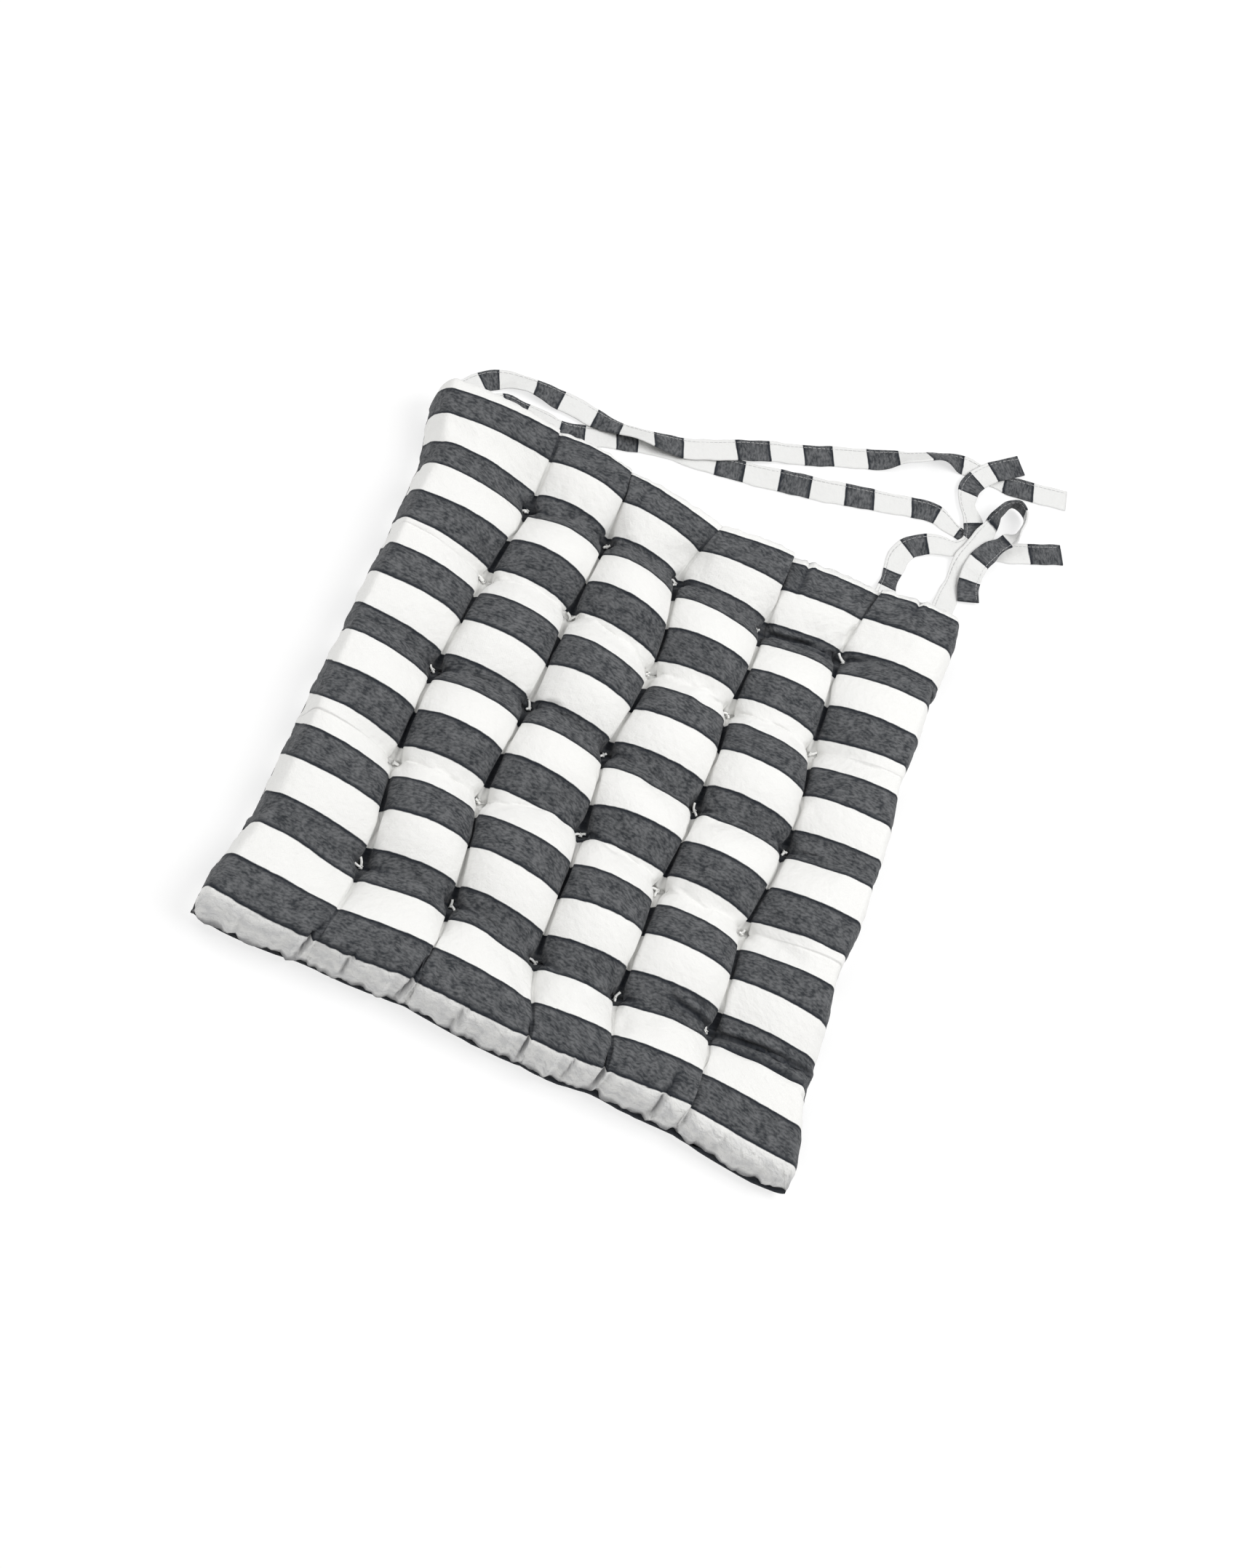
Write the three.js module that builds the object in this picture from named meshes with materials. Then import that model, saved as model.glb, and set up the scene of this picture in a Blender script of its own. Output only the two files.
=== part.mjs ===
// A tufted chair pad with four tie straps, in millimetres.
// +X runs along the front edge to the right, +Y to the back edge with the ties, +Z up.
// The origin is the middle of the flat underside, on the surface that the pad lies on.

import * as THREE from 'three';

const { degToRad, lerp, smoothstep } = THREE.MathUtils;

// The filled pad, heights above the floor
const SEAM_HEIGHT = 10;
const TUFT_HEIGHT = 20;
const ROW_RISE = 11;
const CHANNEL_RISE = 8;
const PUFF_RISE = 6;

// The lower edge bulges past the seam and turns under in these steps, inset in parts of a puff's width
const UNDERSIDE_RINGS = [
  { inset: -0.035, height: 5 },
  { inset: -0.01, height: 1.5 },
  { inset: 0.07, height: 0 },
];

// The side wall's share of an outer puff's cloth, its run in plan, and where the puff is highest
const WALL_SHARE = 0.3;
const WALL_RUN = 0.2;
const CREST_PLACE = 0.45;

// A crease is sharp along a channel and softer along a row, and squeezes the cloth beside it
const CHANNEL_SHARPNESS = 0.55;
const ROW_SHARPNESS = 0.8;
const CHANNEL_SQUEEZE = 0.2;
const ROW_SQUEEZE = 0.25;

// Puffs bulge past the straight line between the ends of two channels, at the sides less than
// at the back and front, and the corners are rounded off over their outermost part
const SIDE_BULGE = { x: 1.25, y: 2.5 };
const CORNER_ROUNDING = 4;
const CORNER_NARROWNESS = 5;

// A crease fades towards the seam at its end to this share of its depth, between these two
// places, where 0 is the last crease across it and 1 is the seam
const EDGE_DEPTH = 0.55;
const FADE = { from: 0.1, to: 0.8 };

const CELLS = 6;
const INNER_STEPS = [0, 0.08, 0.2, 0.35, 0.5, 0.65, 0.8, 0.92];
const OUTER_STEPS = [0, 0.07, 0.14, 0.22, 0.32, 0.45, 0.6, 0.75, 0.87, 0.95];

// The places of the tufts, a row for each line of tufts from the back edge to the front one:
// the line's y, the x of each tuft, and how far each tuft has strayed from the line
const TUFT_ROWS = [
  { y: 140, x: [-112, -57, -3, 62, 116], stray: [0, 2, 0, -6, 1] },
  { y: 73, x: [-118, -59, 5, 62, 122], stray: [6, 9, -3, -4, -4] },
  { y: 3, x: [-122, -59, -1, 66, 129], stray: [3, 8, 1, -7, -6] },
  { y: -62, x: [-120, -61, 5, 64, 124], stray: [-1, 0, 9, -3, -5] },
  { y: -138, x: [-110, -51, 11, 66, 129], stray: [3, 5, -5, -4, 1] },
];

// Where the side seam is drawn in, at the corners and at the end of each channel and row
const SEAM_BACK = { x: [-205, -116, -62, 10, 60, 126, 187], y: [201, 200, 197, 190, 196, 201, 210] };
const SEAM_FRONT = { x: [-194, -116, -51, 28, 76, 132, 213], y: [-207, -203, -200, -203, -200, -201, -209] };
const SEAM_LEFT = [-190, -187, -186, -185, -184];
const SEAM_RIGHT = [185, 186, 191, 192, 197];

// How much higher or lower each puff is than the rest, from the back left corner
const PUFF_UNEVENNESS = [
  [0, 1, -1, 1, 0, -2],
  [1, 0, 2, 0, -1, 1],
  [0, -1, 1, 0, 1, 0],
  [1, 1, 0, -1, 0, 1],
  [-1, 0, 1, 1, 0, -1],
  [0, 2, 0, 0, 1, 0],
];

// How far each row's crease rises between two tufts, as a share of ROW_RISE: a low share is a deep fold
const ROW_SHARES = [
  [1.1, 0.9, 1.0, 0.9, 0.4, 0.9],
  [1.2, 1.0, 1.1, 1.0, 1.0, 1.1],
  [1.1, 0.9, 1.0, 0.9, 0.9, 1.0],
  [1.2, 1.1, 1.0, 1.0, 1.0, 1.1],
  [1.1, 0.9, 0.9, 0.9, 0.8, 0.4],
];

// A tie strap: cloth cut across the stripes, folded and sewn flat
const TIE_WIDTH = 16;
const TIE_THICKNESS = 1.6;
const TIE_STEP = 6;
const TIE_GAP = 0.7;
const SLOPE_STEP = 0.002;

// The height of a strap's middle where it lies on the floor, or on one, two or three others
const LAYER = [0, 1, 2, 3].map((below) => TIE_THICKNESS / 2 + below * (TIE_THICKNESS + TIE_GAP));

// Where each strap leaves the back seam, counted in puffs from the left, and how it drops from there
const TIE_ROOTS = {
  tie_left_upper: 0.17,
  tie_left_lower: 0.45,
  tie_right_inner: 5.12,
  tie_right_outer: 5.78,
};
const ROOT_GAP = 0.35;
const ROOT_DROP = { run: 7, z: 6 };

// The routes of the straps from the floor behind the seam to the free end, a row for each bend,
// chosen by eye. z is the height of the strap's middle, and tilt turns it about its own length
// in degrees where it doesn't lie flat.
const TIE_ROUTES = {
  tie_left_upper: [
    { x: -174, y: 229, z: LAYER[0] },
    { x: -150, y: 237, z: LAYER[0] },
    { x: -120, y: 238, z: LAYER[1] },
    { x: -94, y: 237, z: LAYER[1] },
    { x: -66, y: 239, z: LAYER[1] },
    { x: -30, y: 249, z: LAYER[1] },
    { x: 4, y: 267, z: LAYER[1] },
    { x: 22, y: 276, z: LAYER[1] },
    { x: 40, y: 285, z: LAYER[0] },
    { x: 100, y: 314, z: LAYER[0] },
    { x: 128, y: 330, z: LAYER[0] },
    { x: 152, y: 338, z: LAYER[0] },
    { x: 178, y: 338, z: LAYER[0] },
    { x: 230, y: 350, z: LAYER[0] },
  ],
  tie_left_lower: [
    { x: -159, y: 217, z: 2.4 },
    { x: -147, y: 220, z: LAYER[0] },
    { x: -118, y: 219, z: LAYER[0] },
    { x: -99, y: 223, z: LAYER[0] },
    { x: -80, y: 231, z: LAYER[0] },
    { x: -50, y: 241, z: LAYER[0] },
    { x: -14, y: 247, z: LAYER[0] },
    { x: 58, y: 264, z: LAYER[0] },
    { x: 124, y: 286, z: LAYER[0] },
    { x: 145, y: 291, z: LAYER[0] },
    { x: 163, y: 286, z: LAYER[0] },
    { x: 182, y: 283, z: LAYER[0] },
    { x: 204, y: 289, z: LAYER[0] },
    { x: 240, y: 307, z: LAYER[0] },
  ],
  tie_right_inner: [
    { x: 132, y: 230, z: LAYER[0] },
    { x: 132, y: 246, z: LAYER[0] },
    { x: 139, y: 259, z: LAYER[0] },
    { x: 152, y: 267, z: LAYER[1] },
    { x: 167, y: 272, z: LAYER[1] },
    { x: 176, y: 282, z: LAYER[1] },
    { x: 173, y: 296, z: LAYER[1] },
    { x: 163, y: 309, z: LAYER[1] },
    { x: 162, y: 325, z: LAYER[1] },
    { x: 173, y: 343, z: LAYER[1] },
    { x: 190, y: 358, z: LAYER[1] },
  ],
  tie_right_outer: [
    { x: 174, y: 236, z: LAYER[0] },
    { x: 174, y: 250, z: LAYER[0] },
    { x: 176, y: 265, z: 5.6 },
    { x: 181, y: 282, z: LAYER[2] },
    { x: 184, y: 298, z: 7, tilt: 25 },
    { x: 187, y: 312, z: 10, tilt: 70 },
    { x: 195, y: 322, z: 11, tilt: 80 },
    { x: 204, y: 317, z: 11, tilt: 70 },
    { x: 204, y: 303, z: 9, tilt: 25 },
    { x: 197, y: 290, z: LAYER[3] },
    { x: 189, y: 277, z: LAYER[3] },
    { x: 184, y: 263, z: LAYER[3] },
    { x: 184, y: 250, z: 4.4 },
    { x: 189, y: 237, z: LAYER[1] },
  ],
};

// The net of plan points that the cloth of the pad passes through, corners and seam included
function planNet() {
  const rows = TUFT_ROWS.map((row, number) => [
    { x: SEAM_LEFT[number], y: row.y + row.stray[0] },
    ...row.x.map((x, column) => ({ x, y: row.y + row.stray[column] })),
    { x: SEAM_RIGHT[number], y: row.y + row.stray[4] },
  ]);
  const back = SEAM_BACK.x.map((x, column) => ({ x, y: SEAM_BACK.y[column] }));
  const front = SEAM_FRONT.x.map((x, column) => ({ x, y: SEAM_FRONT.y[column] }));
  return [back, ...rows, front];
}

// The smooth curve through four neighbours a, b, c and d, from b at share 0 to c at share 1
function smoothBetween(a, b, c, d, share) {
  const pull = (c - a) / 2;
  const next = (d - b) / 2;
  const square = share * share;
  const cube = square * share;
  return (2 * cube - 3 * square + 1) * b + (cube - 2 * square + share) * pull
    + (3 * square - 2 * cube) * c + (cube - square) * next;
}

function smoothAlong(values, place) {
  const cell = Math.max(0, Math.min(Math.floor(place), values.length - 2));
  const at = (index) => {
    if (index < 0) return 2 * values[0] - values[1];
    const last = values.length - 1;
    if (index > last) return 2 * values[last] - values[last - 1];
    return values[index];
  };
  return smoothBetween(at(cell - 1), at(cell), at(cell + 1), at(cell + 2), place - cell);
}

const NET = planNet();

// The plan place of a net place, which counts puffs from the left and from the back
function planPlace(across, along) {
  const acrossRow = (row, axis) => smoothAlong(row.map((point) => point[axis]), across);
  const place = (axis) => smoothAlong(NET.map((row) => acrossRow(row, axis)), along);
  return { x: place('x'), y: place('y') };
}

// How near a net place is to the seam, from 1 on it to 0 at the first crease inside
const nearSeam = (place) => Math.max(0, 1 - place, place - (CELLS - 1));

// The plan place with the bulges between the drawn-in points and the rounded corners
function outlinePlace(across, along) {
  const point = planPlace(across, along);
  const puffAcross = Math.abs(Math.sin(Math.PI * across));
  const puffAlong = Math.abs(Math.sin(Math.PI * along));
  const towardsX = Math.sign(across - CELLS / 2);
  const towardsY = Math.sign(CELLS / 2 - along);
  const nearX = nearSeam(across);
  const nearY = nearSeam(along);
  const corner = CORNER_ROUNDING * (nearX * nearY) ** CORNER_NARROWNESS;
  point.x += towardsX * (SIDE_BULGE.x * puffAlong * nearX ** 2 - corner);
  point.y += towardsY * (SIDE_BULGE.y * puffAcross * nearY ** 2 - corner);
  return point;
}

// What one coordinate does to the cloth: its place in plan, how much of the height
// it allows near the seam, and how far it stands up between two creases
function profile(place, sharpness, squeeze) {
  const cell = Math.min(Math.floor(place), CELLS - 1);
  const share = place - cell;
  if (cell > 0 && cell < CELLS - 1) {
    return {
      plan: place - squeeze * Math.sin(2 * Math.PI * share) / (2 * Math.PI),
      wall: 1,
      stand: Math.sin(Math.PI * share) ** sharpness,
    };
  }
  const inwards = cell === 0 ? share : 1 - share;
  const turn = Math.min(inwards / WALL_SHARE, 1) * Math.PI / 2;
  const beyondWall = Math.max(0, (inwards - WALL_SHARE) / (1 - WALL_SHARE));
  const beyondCrest = Math.max(0, (inwards - CREST_PLACE) / (1 - CREST_PLACE));
  const plan = WALL_RUN * (1 - Math.cos(turn)) + (1 - WALL_RUN) * beyondWall;
  return {
    plan: cell === 0 ? plan : CELLS - plan,
    wall: Math.sin(turn),
    stand: Math.max(0, Math.cos(Math.PI / 2 * beyondCrest)) ** sharpness,
  };
}

// How far the cloth stands up across a crease, which is shallower near the seam at its end
function faded(stand, endways) {
  const depth = lerp(1, EDGE_DEPTH, smoothstep(nearSeam(endways), FADE.from, FADE.to));
  return 1 - (1 - stand) * depth;
}

// A value from a table of the rows between puffs, eased from one row to the next
function easedShare(table, along, column) {
  const upper = Math.min(Math.max(Math.floor(along) - 1, 0), table.length - 1);
  const lower = Math.min(Math.max(Math.floor(along), 0), table.length - 1);
  const share = along - Math.floor(along);
  return table[upper][column] * (1 - share) + table[lower][column] * share;
}

// A point of the upper cloth
function clothPoint(across, along) {
  const acrossProfile = profile(across, CHANNEL_SHARPNESS, CHANNEL_SQUEEZE);
  const alongProfile = profile(along, ROW_SHARPNESS, ROW_SQUEEZE);
  const column = Math.min(Math.floor(across), CELLS - 1);
  const row = Math.min(Math.floor(along), CELLS - 1);
  const acrossStand = faded(acrossProfile.stand, along);
  const alongStand = faded(alongProfile.stand, across);
  const rowRise = ROW_RISE * easedShare(ROW_SHARES, along, column) * acrossStand;
  const channelRise = CHANNEL_RISE * alongStand;
  const puffRise = (PUFF_RISE + PUFF_UNEVENNESS[row][column]) * acrossStand * alongStand;
  const rise = TUFT_HEIGHT - SEAM_HEIGHT + rowRise + channelRise + puffRise;
  const { x, y } = outlinePlace(acrossProfile.plan, alongProfile.plan);
  return [x, y, SEAM_HEIGHT + rise * acrossProfile.wall * alongProfile.wall];
}

// The net places of the mesh lines, closer together where the cloth turns sharply
function meshLines() {
  const lines = OUTER_STEPS.slice();
  for (let cell = 1; cell < CELLS - 1; cell += 1) {
    lines.push(...INNER_STEPS.map((step) => cell + step));
  }
  lines.push(...OUTER_STEPS.map((step) => CELLS - step).reverse());
  lines.splice(lines.length - OUTER_STEPS.length, 0, CELLS - 1);
  return lines;
}

function meshFrom(name, positions, triangles, look) {
  const geometry = new THREE.BufferGeometry();
  geometry.setAttribute('position', new THREE.Float32BufferAttribute(positions, 3));
  geometry.setIndex(triangles);
  geometry.computeVertexNormals();
  const mesh = new THREE.Mesh(geometry, new THREE.MeshStandardMaterial(look));
  mesh.name = name;
  return mesh;
}

// The pad: upper cloth down to the side seam, a rounded lower edge and a flat underside
function pad() {
  const lines = meshLines();
  const count = lines.length;
  const positions = [];
  const triangles = [];
  for (const along of lines) {
    for (const across of lines) positions.push(...clothPoint(across, along));
  }
  const corner = (row, column) => row * count + column;
  for (let row = 0; row < count - 1; row += 1) {
    for (let column = 0; column < count - 1; column += 1) {
      const [a, b] = [corner(row, column), corner(row, column + 1)];
      const [c, d] = [corner(row + 1, column + 1), corner(row + 1, column)];
      triangles.push(a, c, b, a, d, c);
    }
  }

  // The seam runs round the pad from the back left corner: right, forwards, left and back
  const last = count - 1;
  const seam = [];
  for (let step = 0; step < last; step += 1) seam.push([0, step]);
  for (let step = 0; step < last; step += 1) seam.push([step, last]);
  for (let step = last; step > 0; step -= 1) seam.push([last, step]);
  for (let step = last; step > 0; step -= 1) seam.push([step, 0]);
  let ring = seam.map(([row, column]) => corner(row, column));
  for (const { inset, height } of UNDERSIDE_RINGS) {
    const shrink = (place) => inset + (CELLS - 2 * inset) * place / CELLS;
    const start = positions.length / 3;
    for (const [row, column] of seam) {
      const { x, y } = outlinePlace(shrink(lines[column]), shrink(lines[row]));
      positions.push(x, y, height);
    }
    const inner = seam.map((_, step) => start + step);
    for (let step = 0; step < seam.length; step += 1) {
      const next = (step + 1) % seam.length;
      triangles.push(ring[step], ring[next], inner[next], ring[step], inner[next], inner[step]);
    }
    ring = inner;
  }

  const flat = ring.map((index) => new THREE.Vector2(positions[3 * index], positions[3 * index + 1]));
  for (const [a, b, c] of THREE.ShapeUtils.triangulateShape(flat, [])) {
    const turn = flat[b].clone().sub(flat[a]).cross(flat[c].clone().sub(flat[a]));
    triangles.push(ring[a], ...(turn < 0 ? [ring[b], ring[c]] : [ring[c], ring[b]]));
  }
  return meshFrom('pad', positions, triangles, { color: 0xd9d8d4, roughness: 0.95, metalness: 0 });
}

// The first two places of a strap: at the seam, square to it and clear of its bulge, and past the drop
function rootPlaces(across) {
  const puffWidth = outlinePlace(Math.ceil(across), 0).x - outlinePlace(Math.floor(across), 0).x;
  const halfWidth = TIE_WIDTH / 2 / puffWidth;
  const [left, right] = [outlinePlace(across - halfWidth, 0), outlinePlace(across + halfWidth, 0)];
  const middle = outlinePlace(across, 0);
  const length = Math.hypot(right.x - left.x, right.y - left.y);
  const out = { x: (left.y - right.y) / length, y: (right.x - left.x) / length };
  const reach = (point) => (point.x - left.x) * out.x + (point.y - left.y) * out.y;
  // The pad's lower edge reaches past the seam, so it is nearest to the strap's own lower edge
  const lowerEdge = UNDERSIDE_RINGS[0];
  const bulge = reach(outlinePlace(across, lowerEdge.inset)) - reach(middle);
  const below = bulge * (TIE_THICKNESS / 2) / (SEAM_HEIGHT - lowerEdge.height);
  const start = ROOT_GAP + Math.max(0, reach(middle)) + below;
  const place = (run, z) => ({
    x: (left.x + right.x) / 2 + out.x * (start + run),
    y: (left.y + right.y) / 2 + out.y * (start + run),
    z,
  });
  return [place(0, SEAM_HEIGHT), place(ROOT_DROP.run, ROOT_DROP.z)];
}

// A value that goes from one place of the route to the next without passing either
function eased(values, place) {
  const before = Math.min(Math.floor(place), values.length - 2);
  return lerp(values[before], values[before + 1], smoothstep(place - before, 0, 1));
}

// A strap along its route: a flat section whose width lies level, turned by the tilt
function tie(name) {
  const route = [...rootPlaces(TIE_ROOTS[name]), ...TIE_ROUTES[name]];
  const bends = route.map(({ x, y }) => new THREE.Vector3(x, y, 0));
  const curve = new THREE.CatmullRomCurve3(bends, false, 'centripetal');
  const steps = Math.round(curve.getLength() / TIE_STEP);
  const heights = route.map(({ z }) => z);
  const tilts = route.map(({ tilt = 0 }) => tilt);
  const middleAt = (share) => {
    const middle = curve.getPoint(share);
    middle.z = eased(heights, share * (route.length - 1));
    return middle;
  };
  const positions = [];
  const triangles = [];
  for (let step = 0; step <= steps; step += 1) {
    const share = curve.getUtoTmapping(step / steps);
    const middle = middleAt(share);
    const ahead = middleAt(Math.min(1, share + SLOPE_STEP));
    const behind = middleAt(Math.max(0, share - SLOPE_STEP));
    const forwards = ahead.sub(behind).normalize();
    const left = new THREE.Vector3(-forwards.y, forwards.x, 0).normalize();
    const tilt = eased(tilts, share * (route.length - 1));
    left.applyAxisAngle(forwards, degToRad(tilt));
    const out = new THREE.Vector3().crossVectors(forwards, left).normalize();
    for (const [side, face] of [[1, -1], [1, 1], [-1, 1], [-1, -1]]) {
      const point = middle.clone();
      point.addScaledVector(left, side * TIE_WIDTH / 2);
      point.addScaledVector(out, face * TIE_THICKNESS / 2);
      positions.push(point.x, point.y, point.z);
    }
    if (step === 0) continue;
    const [before, after] = [4 * (step - 1), 4 * step];
    for (let side = 0; side < 4; side += 1) {
      const next = (side + 1) % 4;
      triangles.push(before + side, before + next, after + next);
      triangles.push(before + side, after + next, after + side);
    }
  }
  const end = 4 * steps;
  triangles.push(0, 2, 1, 0, 3, 2, end, end + 1, end + 2, end, end + 2, end + 3);
  return meshFrom(name, positions, triangles, { color: 0x4a4a4d, roughness: 0.95, metalness: 0 });
}

const cushion = new THREE.Group();
cushion.add(pad());
for (const name of Object.keys(TIE_ROUTES)) cushion.add(tie(name));

export default cushion;
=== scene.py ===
# %% [markdown]
# # A tufted chair cushion with tie straps
# The real cushion is two squares of striped cotton sewn together round the edge, filled, and then
# tufted: at every crossing of a grid a thread is pulled through the pad and knotted, and soft puffs
# stand up between the knots. Four flat straps at the back edge tie the cushion to a chair.
# The packed solids give the sizes and the places, and every piece here is made round them.

# %% Load the frame
import math
import random

import bpy
import numpy as np
from mathutils import Matrix, Vector


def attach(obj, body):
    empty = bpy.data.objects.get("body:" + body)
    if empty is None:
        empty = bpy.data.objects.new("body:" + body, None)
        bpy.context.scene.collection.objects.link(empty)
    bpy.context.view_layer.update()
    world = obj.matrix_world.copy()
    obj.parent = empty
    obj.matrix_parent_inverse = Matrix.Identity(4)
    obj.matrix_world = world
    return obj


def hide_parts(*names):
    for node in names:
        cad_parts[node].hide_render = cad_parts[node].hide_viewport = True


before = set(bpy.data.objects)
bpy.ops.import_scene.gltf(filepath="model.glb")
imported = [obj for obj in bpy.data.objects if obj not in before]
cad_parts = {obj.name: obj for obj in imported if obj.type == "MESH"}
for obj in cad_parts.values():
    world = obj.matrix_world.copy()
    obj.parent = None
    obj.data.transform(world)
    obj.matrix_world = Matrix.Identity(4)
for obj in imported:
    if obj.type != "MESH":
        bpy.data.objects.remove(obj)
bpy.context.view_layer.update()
BODY = "root"
MM = 0.001
print("nodes:", ", ".join(sorted(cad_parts)))

# %% [markdown]
# ## The net of the pad
# The tufts of a real pad are never quite in line, and each one that strays pulls the cloth with it.
# So the cloth is laid over a net: the tufts are its inner knots, and the side seam is its rim. A
# place on the cloth is counted in puffs, across from the left and along from the back, and a smooth
# curve through the knots turns it into a place in plan. A grid of separate cushions would be easier
# to make, but one net lets every crease run on through the tufts, as it does in one piece of cloth.

# %% The knots of the net, in millimetres
CELLS = 6
TUFT_ROWS = [
    {"y": 140, "x": [-112, -57, -3, 62, 116], "stray": [0, 2, 0, -6, 1]},
    {"y": 73, "x": [-118, -59, 5, 62, 122], "stray": [6, 9, -3, -4, -4]},
    {"y": 3, "x": [-122, -59, -1, 66, 129], "stray": [3, 8, 1, -7, -6]},
    {"y": -62, "x": [-120, -61, 5, 64, 124], "stray": [-1, 0, 9, -3, -5]},
    {"y": -138, "x": [-110, -51, 11, 66, 129], "stray": [3, 5, -5, -4, 1]},
]
SEAM_BACK = {"x": [-205, -116, -62, 10, 60, 126, 187], "y": [201, 200, 197, 190, 196, 201, 210]}
SEAM_FRONT = {
    "x": [-194, -116, -51, 28, 76, 132, 213],
    "y": [-207, -203, -200, -203, -200, -201, -209],
}
SEAM_LEFT = [-190, -187, -186, -185, -184]
SEAM_RIGHT = [185, 186, 191, 192, 197]


def net_of_knots():
    """The plan places of the knots, in rows from the back seam to the front one."""
    rows = [list(zip(SEAM_BACK["x"], SEAM_BACK["y"]))]
    for row, left, right in zip(TUFT_ROWS, SEAM_LEFT, SEAM_RIGHT):
        xs = [left, *row["x"], right]
        strays = [row["stray"][0], *row["stray"], row["stray"][-1]]
        rows.append([(x, row["y"] + stray) for x, stray in zip(xs, strays)])
    rows.append(list(zip(SEAM_FRONT["x"], SEAM_FRONT["y"])))
    return np.array(rows, float)


NET = net_of_knots()
print("knots in the net:", NET.shape[0] * NET.shape[1])


# %% Smooth places between the knots
def spline_shares(places, count):
    """How much of each of count values goes into the smooth curve through them, at these places."""
    places = np.asarray(places, float)
    cell = np.clip(np.floor(places), 0, count - 2).astype(int)
    t = places - cell
    four = np.stack([
        (-t + 2 * t**2 - t**3) / 2,
        (2 - 5 * t**2 + 3 * t**3) / 2,
        (t + 4 * t**2 - 3 * t**3) / 2,
        (t**3 - t**2) / 2,
    ])
    shares = np.zeros((len(places), count + 2))
    for step in range(4):
        shares[np.arange(len(places)), cell + step] += four[step]
    # Past an end the values run on in a straight line
    for end, inner, next_inner in ((0, 1, 2), (-1, -2, -3)):
        shares[:, inner] += 2 * shares[:, end]
        shares[:, next_inner] -= shares[:, end]
    return shares[:, 1:-1]


def net_place(across, along):
    """The x and y of places on the net."""
    knots = CELLS + 1
    return np.einsum(
        "pi,ijk,pj->kp", spline_shares(along, knots), NET, spline_shares(across, knots)
    )


print("middle tuft at", net_place([CELLS / 2], [CELLS / 2]).round(1).ravel(), "mm")


# %% Bulges of the outline between the drawn-in knots
SIDE_BULGE = {"x": 1.0, "y": 1.6}
CORNER_ROUNDING = {"back": 6, "front": 3.5}
CORNER_NARROWNESS = 5


def near_seam(place):
    """From 1 on the seam to 0 at the first crease inside it."""
    return np.maximum(0, np.maximum(1 - place, place - (CELLS - 1)))


def outline_place(across, along):
    """The x and y of places on the net, with the puffs' bulges and the rounded corners."""
    x, y = net_place(across, along)
    puff_across = np.abs(np.sin(np.pi * across))
    puff_along = np.abs(np.sin(np.pi * along))
    near_x, near_y = near_seam(across), near_seam(along)
    rounding = np.where(along < CELLS / 2, CORNER_ROUNDING["back"], CORNER_ROUNDING["front"])
    corner = rounding * (near_x * near_y) ** CORNER_NARROWNESS
    x = x + np.sign(across - CELLS / 2) * (SIDE_BULGE["x"] * puff_along * near_x**2 - corner)
    y = y + np.sign(CELLS / 2 - along) * (SIDE_BULGE["y"] * puff_across * near_y**2 - corner)
    return x, y


front_right = np.array([CELLS])
print("front right corner at", np.ravel(outline_place(front_right, front_right)).round(1), "mm")

# %% [markdown]
# ## The upper cloth
# Between two creases the filling lifts the cloth into a dome. A power of a sine makes its section:
# a low power gives steep flanks with a sharp crease between them, as in the channels that run from
# the back to the front, and a higher one a softer crease, as in the rows. An outer puff has no
# second crease: it rolls over into a side wall that runs down to the seam.

# %% The section of a row of puffs
CREASE = {
    "channel": {"sharpness": 0.6, "squeeze": 0.2, "wall_run": 0.13},
    "row": {"sharpness": 1.25, "squeeze": 0.1, "wall_run": 0.2},
}
WALL_SHARE = 0.3
CREST_PLACE = 0.45


def smooth_step(low, high, value):
    """0 below low, 1 above high and eased between them."""
    share = np.clip((value - low) / (high - low), 0, 1)
    return share * share * (3 - 2 * share)


def puff_section(places, sharpness, squeeze, wall_run):
    """For each place: its plan place on the net, the wall's share and the dome's share of height."""
    cell = np.clip(np.floor(places), 0, CELLS - 1)
    share = places - cell
    outer = (cell == 0) | (cell == CELLS - 1)
    inwards = np.where(cell == 0, share, 1 - share)
    turn = np.minimum(inwards / WALL_SHARE, 1) * np.pi / 2
    beyond_wall = np.maximum(0, (inwards - WALL_SHARE) / (1 - WALL_SHARE))
    beyond_crest = np.maximum(0, (inwards - CREST_PLACE) / (1 - CREST_PLACE))
    rim_plan = wall_run * (1 - np.cos(turn)) + (1 - wall_run) * beyond_wall
    rim_plan = np.where(cell == 0, rim_plan, CELLS - rim_plan)
    inner_plan = places - squeeze * np.sin(2 * np.pi * share) / (2 * np.pi)
    rim_dome = np.maximum(0, np.cos(np.pi / 2 * beyond_crest)) ** sharpness
    inner_dome = np.maximum(0, np.sin(np.pi * share)) ** sharpness
    return (
        np.where(outer, rim_plan, inner_plan),
        np.where(outer, np.sin(turn), 1),
        np.where(outer, rim_dome, inner_dome),
    )


section = puff_section(np.linspace(0, 1, 5), **CREASE["channel"])
print("dome of an outer puff, in shares of its height:", section[2].round(2))

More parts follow.
